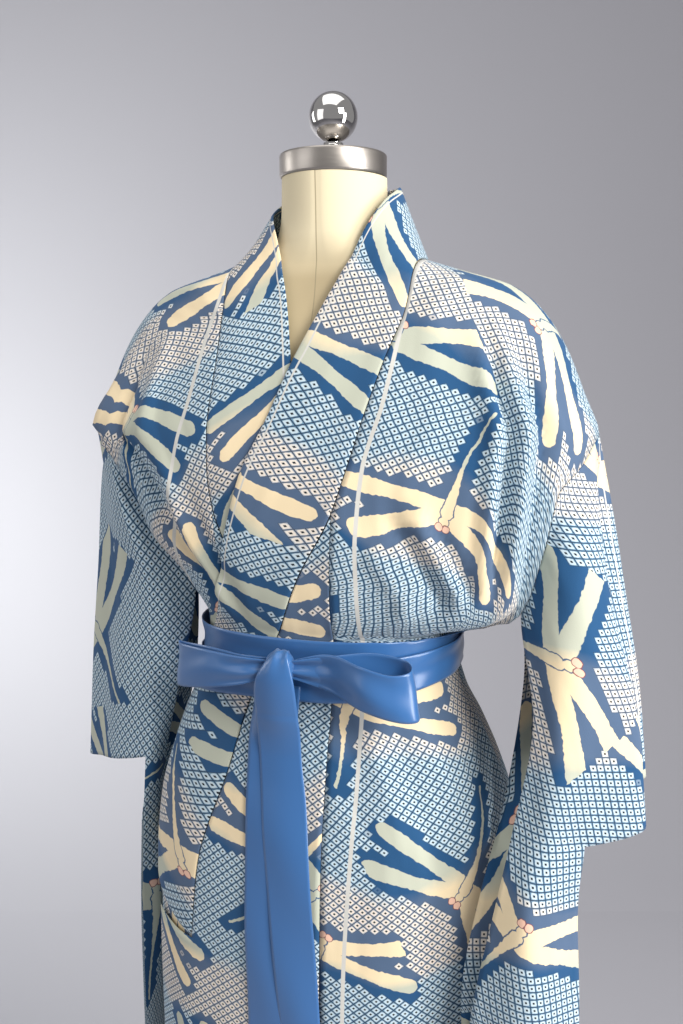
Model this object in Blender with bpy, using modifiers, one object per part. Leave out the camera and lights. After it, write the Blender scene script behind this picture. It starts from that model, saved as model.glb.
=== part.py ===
# A cotton kimono robe on a limbless dress form with a stand, tied with a satin ribbon.
# Metres, +Z up. The form faces -Y, and the wearer's left is +X.
# The origin is on the floor, under the middle of the stand's base.
import math

import bmesh
import bpy
import numpy as np
from mathutils import Vector

COLLECTION = "kimono_robe"

# Cloth walls, and the clearances between pieces that touch.
WALL = 0.0016
BAND_WALL = 0.0024
RIBBON_WALL = 0.0011
SEAM_GAP = 0.0006
SLEEVE_SEAM_GAP = 0.0018
COLLAR_NECK_GAP = 0.0018
TOUCH = 0.0004

# How far each layer's middle lies outside the robe's own surface.
LEFT_FRONT_LIFT = BAND_WALL + 0.0021
WRAP_FRONT_LIFT = LEFT_FRONT_LIFT + BAND_WALL / 2 + 0.0011 + RIBBON_WALL / 2
WRAP_BACK_LIFT = WALL / 2 + 0.0008 + RIBBON_WALL / 2
RIBBON_STEP = RIBBON_WALL + TOUCH
WRAP_STEP = RIBBON_WALL + 0.0009
WRAP_TOP_LIFT = 0.0014

# Heights of the robe's landmarks.
NECK_POINT_Z = 1.502
CROSSING_Z = 1.420
OKUMI_POINT_Z = 1.263
COLLAR_END_Z = 0.807

NECK_POINT_X = 0.0965
SECTION_POWER = 2.3

# The worn robe, level by level: half widths at the wearer's left front, right front and the rear,
# then the depths in front of and behind the axis.
LEVELS = [
    # height, left, right, rear, front, back
    (1.502, 0.0970, 0.0970, 0.0970, 0.060, 0.070),
    (1.492, 0.1300, 0.1300, 0.1300, 0.063, 0.076),
    (1.475, 0.1830, 0.1830, 0.1830, 0.066, 0.087),
    (1.451, 0.2120, 0.2120, 0.2120, 0.074, 0.097),
    (1.418, 0.2340, 0.2340, 0.2340, 0.089, 0.107),
    (1.371, 0.2540, 0.2540, 0.2540, 0.108, 0.115),
    (1.332, 0.2690, 0.2720, 0.2690, 0.120, 0.118),
    (1.322, 0.2680, 0.2630, 0.2680, 0.122, 0.119),
    (1.312, 0.2670, 0.2500, 0.2660, 0.125, 0.119),
    (1.277, 0.2650, 0.2200, 0.2630, 0.130, 0.117),
    (1.230, 0.2600, 0.1990, 0.2550, 0.131, 0.112),
    (1.185, 0.2530, 0.1590, 0.2400, 0.126, 0.106),
    (1.165, 0.2340, 0.1480, 0.2150, 0.121, 0.103),
    (1.152, 0.1850, 0.1410, 0.1750, 0.1165, 0.101),
    (1.140, 0.1360, 0.1360, 0.1360, 0.112, 0.099),
    (1.095, 0.1340, 0.1340, 0.1340, 0.110, 0.097),
    (1.064, 0.1420, 0.1430, 0.1420, 0.111, 0.100),
    (1.030, 0.1600, 0.1600, 0.1600, 0.118, 0.109),
    (0.980, 0.1800, 0.1790, 0.1800, 0.126, 0.121),
    (0.930, 0.1930, 0.1920, 0.1930, 0.133, 0.128),
    (0.860, 0.1990, 0.1990, 0.1990, 0.138, 0.132),
    (0.760, 0.2000, 0.2000, 0.2000, 0.141, 0.134),
    (0.600, 0.1990, 0.1980, 0.1990, 0.143, 0.135),
    (0.400, 0.2010, 0.2000, 0.2010, 0.145, 0.137),
    (0.200, 0.2050, 0.2040, 0.2050, 0.148, 0.139),
    (0.070, 0.2090, 0.2080, 0.2090, 0.150, 0.140),
]

# How much of the half width each panel covers at its armhole edge. Below the waist it is all of it.
ARMHOLE_SHARE = [
    # height, left front, right front, rear
    (1.332, 1.000, 1.000, 1.000),
    (1.322, 0.985, 0.920, 0.985),
    (1.312, 0.970, 0.865, 0.970),
    (1.277, 0.883, 0.910, 0.897),
    (1.230, 0.869, 0.932, 0.878),
    (1.185, 0.854, 0.937, 0.850),
    (1.165, 0.864, 0.960, 0.865),
    (1.152, 0.930, 0.985, 0.915),
    (1.140, 1.000, 1.000, 1.000),
]

# The seam between each front and the collar, measured from the middle towards the front's own side.
COLLAR_SEAM = [
    # height, left front, right front
    (1.502, 0.0965, 0.0965),
    (1.451, 0.0930, 0.0960),
    (1.400, 0.0790, 0.0940),
    (1.354, 0.0665, 0.0950),
    (1.300, 0.0520, 0.0920),
    (1.263, 0.0400, 0.0860),
    (1.200, 0.0060, 0.0550),
    (1.140, -0.0200, 0.0230),
    (1.085, -0.0460, 0.0000),
    (0.991, -0.0740, -0.0400),
    (0.891, -0.1050, -0.0780),
    (0.807, -0.1130, -0.0950),
]

# The seam between each front and its okumi, and the okumi's free edge below the collar.
OKUMI_LINES = [
    # height, left seam, right seam, left edge, right edge
    (1.263, 0.0400, 0.0860, -0.1750, -0.1450),
    (1.138, 0.0350, 0.0750, -0.1750, -0.1450),
    (1.040, 0.0320, 0.0670, -0.1750, -0.1450),
    (0.880, 0.0300, 0.0620, -0.1750, -0.1450),
    (0.640, 0.0300, 0.0620, -0.1720, -0.1400),
    (0.070, 0.0300, 0.0620, -0.1600, -0.1300),
]

# The collar's free edge down each front, with the height of the seam straight across from it.
COLLAR_EDGE = [
    # seam height, left edge, left edge height, right edge, right edge height
    (1.460, 0.0350, 1.502, 0.0360, 1.500),
    (1.416, 0.0120, 1.455, 0.0260, 1.460),
    (1.370, -0.0100, 1.404, 0.0130, 1.405),
    (1.315, -0.0300, 1.348, 0.0020, 1.350),
    (1.268, -0.0510, 1.303, -0.0080, 1.295),
    (1.220, -0.0670, 1.250, -0.0240, 1.243),
    (1.130, -0.0920, 1.155, -0.0550, 1.160),
    (1.070, -0.1260, 1.090, -0.0800, 1.092),
    (0.970, -0.1690, 0.995, -0.1180, 0.995),
    (0.880, -0.1860, 0.905, -0.1430, 0.908),
    (0.807, -0.1850, 0.835, -0.1530, 0.840),
]

# The collar's free edge round the neck. The turn is 90 at the shoulder and 180 behind.
COLLAR_NECK = [
    # turn, left x, left y, left z, right x, right y, right z
    (24.0, 0.0350, -0.0575, 1.5020, 0.0360, -0.0575, 1.5000),
    (45.0, 0.0460, -0.0500, 1.5290, 0.0430, -0.0510, 1.5220),
    (70.0, 0.0590, -0.0320, 1.5560, 0.0540, -0.0340, 1.5430),
    (90.0, 0.0650, -0.0060, 1.5700, 0.0610, -0.0080, 1.5560),
    (115.0, 0.0620, 0.0230, 1.5780, 0.0610, 0.0220, 1.5680),
    (140.0, 0.0470, 0.0500, 1.5800, 0.0470, 0.0500, 1.5760),
    (160.0, 0.0260, 0.0640, 1.5810, 0.0260, 0.0640, 1.5800),
    (180.0, 0.0000, 0.0700, 1.5810, 0.0000, 0.0700, 1.5810),
]

# The large folds: where they hang, how wide they are, where they start and end, and how far they stand.
FOLDS = [
    # angle, spread, top, full from, full to, bottom, height
    (46.0, 9.0, 1.440, 1.330, 1.200, 1.145, 0.0080),
    (57.0, 5.0, 1.420, 1.320, 1.200, 1.150, -0.0060),
    (-55.0, 9.0, 1.440, 1.340, 1.240, 1.145, 0.0060),
    (128.0, 9.0, 1.430, 1.320, 1.200, 1.145, 0.0080),
    (-128.0, 9.0, 1.430, 1.320, 1.200, 1.145, 0.0080),
    (158.0, 10.0, 1.360, 1.260, 1.200, 1.145, 0.0050),
    (-156.0, 9.0, 1.360, 1.260, 1.200, 1.145, 0.0045),
    (28.0, 9.0, 1.050, 0.860, 0.070, 0.000, 0.0035),
    (64.0, 10.0, 1.050, 0.880, 0.070, 0.000, 0.0060),
    (104.0, 11.0, 1.040, 0.860, 0.070, 0.000, 0.0070),
    (141.0, 11.0, 1.050, 0.850, 0.070, 0.000, 0.0075),
    (174.0, 11.0, 1.050, 0.850, 0.070, 0.000, 0.0060),
    (-148.0, 11.0, 1.050, 0.850, 0.070, 0.000, 0.0075),
    (-112.0, 11.0, 1.040, 0.860, 0.070, 0.000, 0.0065),
    (-34.0, 10.0, 1.050, 0.860, 0.070, 0.000, 0.0040),
]

# The dress form, level by level.
FORM_LEVELS = [
    # height, half width, front, back
    (1.5840, 0.0530, 0.0590, 0.0470),
    (1.5500, 0.0540, 0.0570, 0.0500),
    (1.5200, 0.0600, 0.0560, 0.0560),
    (1.5007, 0.0950, 0.0550, 0.0640),
    (1.4909, 0.1290, 0.0570, 0.0710),
    (1.4738, 0.1800, 0.0600, 0.0820),
    (1.4590, 0.1935, 0.0640, 0.0880),
    (1.4400, 0.1970, 0.0720, 0.0950),
    (1.4100, 0.1940, 0.0840, 0.1010),
    (1.3700, 0.1820, 0.1000, 0.1080),
    (1.3200, 0.1660, 0.1150, 0.1100),
    (1.2700, 0.1580, 0.1230, 0.1050),
    (1.2000, 0.1360, 0.1100, 0.0900),
    (1.1200, 0.1190, 0.0940, 0.0790),
    (1.0400, 0.1390, 0.1030, 0.0960),
    (0.9600, 0.1620, 0.1140, 0.1150),
    (0.8800, 0.1720, 0.1170, 0.1200),
    (0.8400, 0.1700, 0.1150, 0.1180),
]

# Each sleeve hangs from its armhole as a folded bag. A line runs down it for each fold and edge,
# and each row is a level: how far out, how far forward or back, and the height.
SLEEVE_LINES = [
    "opening", "lobe", "corner", "ridge", "slit", "fold",
    "back_ridge", "back_corner", "back_middle", "back_opening",
]
LEFT_SLEEVE = {
    "lobe": [(0.246, -0.086, 1.222), (0.246, -0.096, 1.160), (0.252, -0.108, 1.068), (0.244, -0.120, 0.964),
             (0.234, -0.139, 0.894), (0.237, -0.146, 0.785), (0.234, -0.136, 0.620)],
    "corner": [(0.266, -0.080, 1.226), (0.274, -0.089, 1.162), (0.282, -0.096, 1.070), (0.277, -0.098, 0.956),
               (0.273, -0.098, 0.890), (0.279, -0.104, 0.770), (0.282, -0.110, 0.520)],
    "ridge": [(0.280, -0.054, 1.232), (0.294, -0.058, 1.166), (0.318, -0.064, 1.076), (0.330, -0.068, 0.968)],
    "slit": [(0.269, -0.028, 1.242), (0.280, -0.027, 1.170), (0.296, -0.028, 1.080), (0.306, -0.030, 0.980)],
    "fold": [(0.287, 0.007, 1.246), (0.301, 0.013, 1.170), (0.317, 0.019, 1.082), (0.328, 0.020, 0.984)],
    "back_ridge": [(0.272, 0.048, 1.232), (0.278, 0.062, 1.164), (0.282, 0.064, 1.076),
                   (0.284, 0.040, 0.972)],
    "back_corner": [(0.252, 0.072, 1.224), (0.248, 0.076, 1.162), (0.248, 0.066, 1.070),
                    (0.256, 0.010, 0.954)],
    "back_middle": [(0.236, 0.079, 1.220), (0.224, 0.078, 1.162), (0.222, 0.054, 1.070), (0.224, -0.010, 0.962),
                    (0.238, -0.092, 0.900), (0.236, -0.102, 0.795), (0.238, -0.106, 0.640)],
    "opening": [(0.226, -0.098, 1.070), (0.212, -0.109, 0.970),
                (0.200, -0.124, 0.900), (0.183, -0.136, 0.805), (0.173, -0.134, 0.715)],
    "back_opening": [(0.200, 0.034, 1.070), (0.194, -0.036, 0.970),
                     (0.182, -0.094, 0.900), (0.168, -0.114, 0.810), (0.170, -0.118, 0.725)],
    "edge": (-0.0020, 0.0060),
}
RIGHT_SLEEVE = {
    "lobe": [(0.209, -0.069, 1.235), (0.178, -0.062, 1.164), (0.186, -0.054, 1.060), (0.198, -0.044, 0.968),
             (0.203, -0.038, 0.890), (0.205, -0.034, 0.764), (0.212, -0.016, 0.600)],
    "corner": [(0.218, -0.066, 1.236), (0.198, -0.063, 1.162), (0.201, -0.056, 1.060), (0.207, -0.054, 0.964),
               (0.212, -0.054, 0.886), (0.218, -0.052, 0.756), (0.221, -0.046, 0.510)],
    "ridge": [(0.244, -0.046, 1.246), (0.234, -0.044, 1.164), (0.240, -0.046, 1.060), (0.250, -0.044, 0.952)],
    "slit": [(0.266, -0.020, 1.260), (0.264, -0.018, 1.168), (0.274, -0.018, 1.060), (0.286, -0.016, 0.940)],
    "fold": [(0.286, 0.010, 1.270), (0.296, 0.010, 1.170), (0.309, 0.012, 1.060), (0.319, 0.012, 0.930)],
    "back_ridge": [(0.266, 0.044, 1.255), (0.268, 0.056, 1.166), (0.280, 0.056, 1.060),
                   (0.286, 0.050, 0.944)],
    "back_corner": [(0.249, 0.058, 1.240), (0.236, 0.066, 1.164), (0.244, 0.064, 1.060),
                    (0.248, 0.046, 0.958)],
    "back_middle": [(0.236, 0.060, 1.236), (0.208, 0.058, 1.164), (0.214, 0.056, 1.060), (0.226, 0.046, 0.964),
                    (0.232, 0.006, 0.890), (0.238, 0.006, 0.764), (0.236, 0.002, 0.600)],
    "opening": [(0.169, -0.036, 1.060), (0.194, -0.026, 0.970),
                (0.206, -0.018, 0.895), (0.209, -0.014, 0.770), (0.216, 0.020, 0.690)],
    "back_opening": [(0.186, 0.038, 1.060), (0.204, 0.036, 0.970),
                     (0.216, 0.036, 0.895), (0.222, 0.044, 0.770), (0.226, 0.026, 0.690)],
    "edge": (0.0062, 0.0010),
}
# The armhole seam: the height of its front corner, and of the levels that are still sewn.
LEFT_SEAM_HEIGHTS = (1.276, 1.220, 1.168)
RIGHT_SEAM_HEIGHTS = (1.312, 1.235, 1.172)
CUFF_LEVEL = 4
BOTTOM_SEAM = 0.0065
JOINED_LEVEL = 5

# The sash: each turn of the ribbon, by its height at the wearer's left, front, right and back.
WRAP_EDGES = {
    # name: (top left, top front, top right, top back), (bottom left, bottom front, bottom right, bottom back)
    "sash_wrap_upper": ((1.147, 1.138, 1.132, 1.138), (1.106, 1.092, 1.082, 1.090)),
    "sash_wrap_lower": ((1.128, 1.117, 1.100, 1.110), (1.092, 1.074, 1.050, 1.066)),
}
BOW_X = -0.0120
BOW_Z = 1.111
KNOT_HALF = (0.0135, 0.0115, 0.0175)

# The bow's loops, from the knot out along the back layer and home along the front one.
LEFT_LOOP = [
    # x, forward of the knot's middle, height, half height of the ribbon
    (-0.0262, -0.0040, 1.1110, 0.0120),
    (-0.0500, -0.0020, 1.1095, 0.0180),
    (-0.0900, -0.0150, 1.1085, 0.0230),
    (-0.1260, -0.0330, 1.1085, 0.0245),
    (-0.1400, -0.0380, 1.1085, 0.0245),
    (-0.1290, -0.0250, 1.1080, 0.0245),
    (-0.0920, -0.0040, 1.1080, 0.0235),
    (-0.0500, 0.0080, 1.1090, 0.0185),
    (-0.0262, 0.0040, 1.1110, 0.0120),
]
RIGHT_LOOP = [
    (0.0015, -0.0040, 1.1110, 0.0120),
    (0.0350, -0.0030, 1.1110, 0.0190),
    (0.0800, -0.0060, 1.1110, 0.0235),
    (0.1150, -0.0080, 1.1110, 0.0240),
    (0.1250, 0.0010, 1.1085, 0.0235),
    (0.1100, 0.0120, 1.1050, 0.0235),
    (0.0740, 0.0180, 1.1040, 0.0240),
    (0.0340, 0.0130, 1.1060, 0.0200),
    (0.0015, 0.0040, 1.1105, 0.0120),
]
# How far the tails lie off the robe below the bow, then their two edges at each height.
TAIL_LIFT_LOW = 0.0062
FRONT_TAIL = [
    # height, left edge x, right edge x
    (1.0900, -0.0350, 0.0090),
    (1.0300, -0.0330, 0.0150),
    (0.9670, -0.0240, 0.0250),
    (0.8600, -0.0130, 0.0310),
    (0.7550, -0.0040, 0.0360),
    (0.6000, 0.0030, 0.0450),
    (0.4700, 0.0050, 0.0520),
]
BACK_TAIL = [
    (1.0900, -0.0400, 0.0060),
    (1.0300, -0.0450, 0.0040),
    (0.9540, -0.0460, 0.0030),
    (0.8600, -0.0450, 0.0040),
    (0.7400, -0.0430, 0.0060),
    (0.6000, -0.0450, 0.0050),
    (0.5000, -0.0470, 0.0030),
]

# The stand.
CAP_RADIUS = 0.0540
CAP_HEIGHT = 0.0225
STUB_RADIUS = 0.0125
STUB_HEIGHT = 0.0110
BALL_RADIUS = 0.0245
POLE_RADIUS = 0.0125
BASE_RADIUS = 0.165
BASE_HEIGHT = 0.022
METAL_BEVEL = 0.0012

# How finely each surface is divided.
PANEL_COLUMNS = 8
OKUMI_COLUMNS = 5
OKUMI_STEP_COLUMNS = 3
COLLAR_COLUMNS = 4
SLEEVE_STEPS_ACROSS = 2
SLEEVE_STEPS_DOWN = 4
WRAP_COLUMNS = 48
FORM_COLUMNS = 28
LOOP_ROWS = 26
TAIL_ROWS = 20

PANEL_HEIGHTS = [
    0.070, 0.250, 0.430, 0.580, 0.700, 0.790, 0.860, 0.920, 0.965, 1.000, 1.030, 1.052, 1.070,
    1.086, 1.104, 1.124, 1.138, 1.146, 1.154, 1.168, 1.190, 1.222, 1.263,
]
PANEL_CUT_Z = 1.104
FRONT_DOWNS = [0.90, 0.79, 0.68, 0.57, 0.46, 0.35, 0.24, 0.14, 0.06]
BACK_DOWNS = [0.04, 0.09, 0.14, 0.19, 0.24, 0.30, 0.42, 0.56, 0.72, 0.88]
BACK_NECK_DOWN = 0.30


def smooth_column(rows, column):
    # A monotone cubic through one column of a table, against the table's first column.
    table = sorted(rows)
    keys = np.array([row[0] for row in table])
    values = np.array([row[column] for row in table])
    step = np.diff(keys)
    slope = np.diff(values) / step
    tangent = np.zeros(len(keys))
    tangent[0] = slope[0]
    tangent[-1] = slope[-1]
    for i in range(1, len(keys) - 1):
        if slope[i - 1] * slope[i] > 0:
            near = 2 * step[i] + step[i - 1]
            far = step[i] + 2 * step[i - 1]
            tangent[i] = (near + far) / (near / slope[i - 1] + far / slope[i])

    def value(key):
        key = min(max(key, keys[0]), keys[-1])
        i = min(max(int(np.searchsorted(keys, key)) - 1, 0), len(keys) - 2)
        t = (key - keys[i]) / step[i]
        start = (1 + 2 * t) * (1 - t) ** 2 * values[i] + t * t * (3 - 2 * t) * values[i + 1]
        bend = t * (1 - t) ** 2 * tangent[i] - t * t * (1 - t) * tangent[i + 1]
        return float(start + bend * step[i])

    return value


def smooth_step(low, high, value):
    # 0 at low and 1 at high, eased at both ends. Low may be the larger.
    t = min(max((value - low) / (high - low), 0.0), 1.0)
    return t * t * (3 - 2 * t)


def blend(a, b, t):
    return a + (b - a) * t


LEFT_HALF = smooth_column(LEVELS, 1)
RIGHT_HALF = smooth_column(LEVELS, 2)
REAR_HALF = smooth_column(LEVELS, 3)
FRONT_DEPTH = smooth_column(LEVELS, 4)
BACK_DEPTH = smooth_column(LEVELS, 5)
CREST = [(row[1], row[0]) for row in LEVELS if row[0] >= 1.332]
CREST_HEIGHT = smooth_column(CREST, 1)
COLLAR_SEAM_X = {1: smooth_column(COLLAR_SEAM, 1), -1: smooth_column(COLLAR_SEAM, 2)}
OKUMI_SEAM_X = {1: smooth_column(OKUMI_LINES, 1), -1: smooth_column(OKUMI_LINES, 2)}
OKUMI_EDGE_X = {1: smooth_column(OKUMI_LINES, 3), -1: smooth_column(OKUMI_LINES, 4)}
FRONT_SHARE = {1: smooth_column(ARMHOLE_SHARE, 1), -1: smooth_column(ARMHOLE_SHARE, 2)}
REAR_SHARE = smooth_column(ARMHOLE_SHARE, 3)
CREST_END_X = {1: LEVELS[6][1], -1: LEVELS[6][2]}


def fold_height(angle, z):
    # How far the large folds stand out at this place, angle in radians.
    height = 0.0
    for centre, spread, top, full_top, full_bottom, bottom, size in FOLDS:
        turn = (math.degrees(angle) - centre + 180) % 360 - 180
        if abs(turn) < 3 * spread and bottom < z < top:
            rise = smooth_step(top, full_top, z) * smooth_step(bottom, full_bottom, z)
            height += size * rise * math.exp(-(turn / spread) ** 2)
    return height


def half_width(angle, z):
    if abs(angle) > math.pi / 2:
        return REAR_HALF(z)
    return LEFT_HALF(z) if angle >= 0 else RIGHT_HALF(z)


def robe_point(angle, z, lift=0.0):
    # A point of the robe's surface. Angle 0 is the front middle, and it grows to the wearer's left.
    angle = (angle + math.pi) % (2 * math.pi) - math.pi
    depth_at = FRONT_DEPTH if abs(angle) <= math.pi / 2 else BACK_DEPTH
    half = half_width(angle, z)
    depth = depth_at(z)
    sine = math.sin(angle)
    cosine = math.cos(angle)
    x_share = abs(sine) ** (2 / SECTION_POWER)
    y_share = abs(cosine) ** (2 / SECTION_POWER)
    x = math.copysign(half * x_share, sine)
    y = -math.copysign(depth * y_share, cosine)
    step = 0.004
    half_slope = (half_width(angle, z + step) - half_width(angle, z - step)) / (2 * step)
    depth_slope = (depth_at(z + step) - depth_at(z - step)) / (2 * step)
    out_x = math.copysign(x_share ** (SECTION_POWER - 1) / half, sine)
    out_y = -math.copysign(y_share ** (SECTION_POWER - 1) / depth, cosine)
    out_z = -x_share ** SECTION_POWER * half_slope / half - y_share ** SECTION_POWER * depth_slope / depth
    outward = Vector((out_x, out_y, out_z)).normalized()
    return Vector((x, y, z)) + outward * (lift + fold_height(angle, z))


def angle_at(x, z):
    # The angle in front at which the surface crosses x.
    half = half_width(math.copysign(1.0, x), z)
    share = min(abs(x) / half, 1.0)
    return math.copysign(math.asin(share ** (SECTION_POWER / 2)), x)


def front_lift(side, angle, z):
    # The left front rides over the right one where they cross.
    if side < 0:
        return 0.0
    across = smooth_step(math.radians(82), math.radians(58), angle)
    return LEFT_FRONT_LIFT * across * smooth_step(1.480, CROSSING_Z, z)


def inner_front_x(side, z):
    if z >= OKUMI_POINT_Z:
        return COLLAR_SEAM_X[side](z)
    return OKUMI_SEAM_X[side](z) + SEAM_GAP / 2


def outer_angle(side, front, z):
    share_at = FRONT_SHARE[side] if front else REAR_SHARE
    share = share_at(z) if z > ARMHOLE_SHARE[-1][0] else 1.0
    depth = FRONT_DEPTH(z) if front else BACK_DEPTH(z)
    seam = math.acos((SEAM_GAP / depth) ** (SECTION_POWER / 2))
    return min(math.asin(share ** (SECTION_POWER / 2)), seam)


def lower_panel_place(side, front, across, z):
    # Below the point of the okumi, a row of the panel lies at one height.
    outer = outer_angle(side, front, z)
    if front:
        inner = side * angle_at(side * inner_front_x(side, z), z)
        angle = side * blend(inner, outer, across)
        return angle, z, front_lift(side, angle, z)
    inner = math.asin((SEAM_GAP / 2 / REAR_HALF(z)) ** (SECTION_POWER / 2))
    return side * (math.pi - blend(inner, outer, across)), z, 0.0


def upper_panel_place(side, front, across, down):
    # From the shoulder's crest (down 0) to the height of the okumi's point (down 1).
    crest_z = CREST_HEIGHT(blend(NECK_POINT_X, CREST_END_X[side], across))
    if down <= 0:
        return side * math.pi / 2, crest_z, 0.0
    fall = 1 - math.cos(down * math.pi / 2)
    outer_z = blend(CREST_HEIGHT(CREST_END_X[side]), OKUMI_POINT_Z, fall)
    outer = outer_angle(side, front, outer_z)
    if front:
        z = blend(crest_z, OKUMI_POINT_Z, fall)
        inner_z = blend(NECK_POINT_Z, OKUMI_POINT_Z, fall)
        inner_x = inner_front_x(side, inner_z)
        inner = side * angle_at(side * inner_x, inner_z)
        outer_half = half_width(side * 1.0, outer_z)
        half = half_width(side * 1.0, z)
    else:
        wait = BACK_NECK_DOWN * (1 - across) ** 3
        rest = max(0.0, (down - wait) / (1 - wait))
        z = blend(crest_z, OKUMI_POINT_Z, 1 - math.cos(rest * math.pi / 2))
        inner_x = blend(NECK_POINT_X, SEAM_GAP / 2, smooth_step(0.0, BACK_NECK_DOWN, down))
        inner = math.asin((SEAM_GAP / 2 / REAR_HALF(z)) ** (SECTION_POWER / 2))
        outer_half = REAR_HALF(outer_z)
        half = REAR_HALF(z)
    outer_x = outer_half * math.sin(outer) ** (2 / SECTION_POWER)
    straight_x = blend(inner_x, outer_x, across)
    turned = blend(inner, outer, across)
    turned_x = half * math.copysign(abs(math.sin(turned)) ** (2 / SECTION_POWER), turned)
    x = blend(straight_x, turned_x, smooth_step(0.45, 1.0, down))
    angle = math.copysign(math.asin(min(abs(x) / half, 1.0) ** (SECTION_POWER / 2)), x)
    if front:
        return side * angle, z, front_lift(side, side * angle, z)
    return side * (math.pi - angle), z, 0.0


def panel_places(side):
    # Every row of the panel, from the front hem over the shoulder to the back hem.
    columns = [column / PANEL_COLUMNS for column in range(PANEL_COLUMNS + 1)]
    rows = [[lower_panel_place(side, True, across, z) for across in columns] for z in PANEL_HEIGHTS]
    rows += [[upper_panel_place(side, True, across, down) for across in columns] for down in FRONT_DOWNS]
    rows.append([upper_panel_place(side, True, across, 0.0) for across in columns])
    rows += [[upper_panel_place(side, False, across, down) for across in columns] for down in BACK_DOWNS]
    rows += [[lower_panel_place(side, False, across, z) for across in columns]
             for z in reversed(PANEL_HEIGHTS)]
    return rows


CREST_ROW = len(PANEL_HEIGHTS) + len(FRONT_DOWNS)
PLACES = {side: panel_places(side) for side in (1, -1)}


def armhole_at(side, front, z):
    # A point of the panel's armhole edge, as built, moved off it by the width of the seam.
    rows = PLACES[side][:CREST_ROW + 1] if front else PLACES[side][:CREST_ROW - 1:-1]
    edge = [robe_point(*row[-1]) for row in rows]
    inside = [robe_point(*row[-2]) for row in rows]
    i = 0
    while i < len(edge) - 2 and edge[i + 1].z < z:
        i += 1
    t = (z - edge[i].z) / (edge[i + 1].z - edge[i].z)
    point = edge[i].lerp(edge[i + 1], min(max(t, 0.0), 1.0))
    before = inside[i].lerp(inside[i + 1], min(max(t, 0.0), 1.0))
    return point + (point - before).normalized() * SLEEVE_SEAM_GAP


def clear_scene():
    for old in list(bpy.data.objects):
        bpy.data.objects.remove(old, do_unlink=True)


def make_material(name, colour, roughness, metallic=0.0):
    material = bpy.data.materials.new(name)
    material.use_nodes = True
    shader = material.node_tree.nodes["Principled BSDF"]
    shader.inputs["Base Color"].default_value = (*colour, 1.0)
    shader.inputs["Roughness"].default_value = roughness
    shader.inputs["Metallic"].default_value = metallic
    return material


def add_object(name, bm, material):
    bmesh.ops.recalc_face_normals(bm, faces=bm.faces)
    mesh = bpy.data.meshes.new(name)
    bm.to_mesh(mesh)
    bm.free()
    mesh.shade_smooth()
    mesh.set_sharp_from_angle(angle=math.radians(40))
    mesh.materials.append(material)
    piece = bpy.data.objects.new(name, mesh)
    PARTS.objects.link(piece)
    return piece


def add_wall(piece, thickness):
    wall = piece.modifiers.new("wall", "SOLIDIFY")
    wall.thickness = thickness
    wall.offset = 0.0
    wall.use_even_offset = False
    return piece


def grid_sheet(columns, rows, place):
    # A grid whose points are moved by place(column, row). Points without a place are left out.
    bm = bmesh.new()
    bmesh.ops.create_grid(bm, x_segments=columns, y_segments=rows, size=0.5)
    grid = {}
    spare = []
    for vertex in bm.verts:
        key = (round((vertex.co.x + 0.5) * columns), round((vertex.co.y + 0.5) * rows))
        point = place(*key)
        if point is None:
            spare.append(vertex)
        else:
            vertex.co = point
            grid[key] = vertex
    bmesh.ops.delete(bm, geom=spare, context="VERTS")
    return bm, grid


def build_panel_piece(name, places, shifts, material):
    # Some rows of a panel. The first and the last one are moved along Z by the shifts.
    last = len(places) - 1

    def place(column, row):
        angle, z, lift = places[row][column]
        if row == 0:
            z += shifts[0]
        elif row == last:
            z += shifts[1]
        return robe_point(angle, z, lift)

    bm = grid_sheet(PANEL_COLUMNS, last, place)[0]
    return add_wall(add_object(name, bm, material), WALL)


def build_body_panel(side, end, material):
    # One long panel goes up the front, over the shoulder and down the back.
    # It is cut under the sash, front and back, so that each piece is a simple shape to collide with.
    places = PLACES[side]
    cut = PANEL_HEIGHTS.index(PANEL_CUT_Z)
    gap = SEAM_GAP / 2
    build_panel_piece("body_" + end, places[cut:len(places) - cut], (gap, gap), material)
    build_panel_piece("skirt_front_" + end, places[:cut + 1], (0.0, -gap), material)
    build_panel_piece("skirt_back_" + end, places[-cut - 1:], (-gap, 0.0), material)


def okumi_heights():
    # The panel's own rows, with one more under the point and two at the collar's end.
    lower = [z for z in PANEL_HEIGHTS if z < OKUMI_POINT_Z - 0.001]
    return sorted(lower + [OKUMI_POINT_Z - 0.008, COLLAR_END_Z + 0.002, COLLAR_END_Z - 0.002])


def build_okumi(name, side, material):
    # The overlap panel narrows to a point at its top. Below the collar's end it steps out to its free edge.
    heights = okumi_heights()

    def place(column, row):
        z = heights[row]
        seam = angle_at(side * (OKUMI_SEAM_X[side](z) - SEAM_GAP / 2), z)
        collar = angle_at(side * (COLLAR_SEAM_X[side](z) + SEAM_GAP / 2), z)
        edge = angle_at(side * OKUMI_EDGE_X[side](z), z)
        if column <= OKUMI_COLUMNS:
            angle = blend(seam, collar, column / OKUMI_COLUMNS)
        elif z < COLLAR_END_Z:
            angle = blend(collar, edge, (column - OKUMI_COLUMNS) / OKUMI_STEP_COLUMNS)
        else:
            return None
        return robe_point(angle, z, LEFT_FRONT_LIFT if side > 0 else 0.0)

    bm = grid_sheet(OKUMI_COLUMNS + OKUMI_STEP_COLUMNS, len(heights) - 1, place)[0]
    return add_wall(add_object(name, bm, material), WALL)


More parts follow.
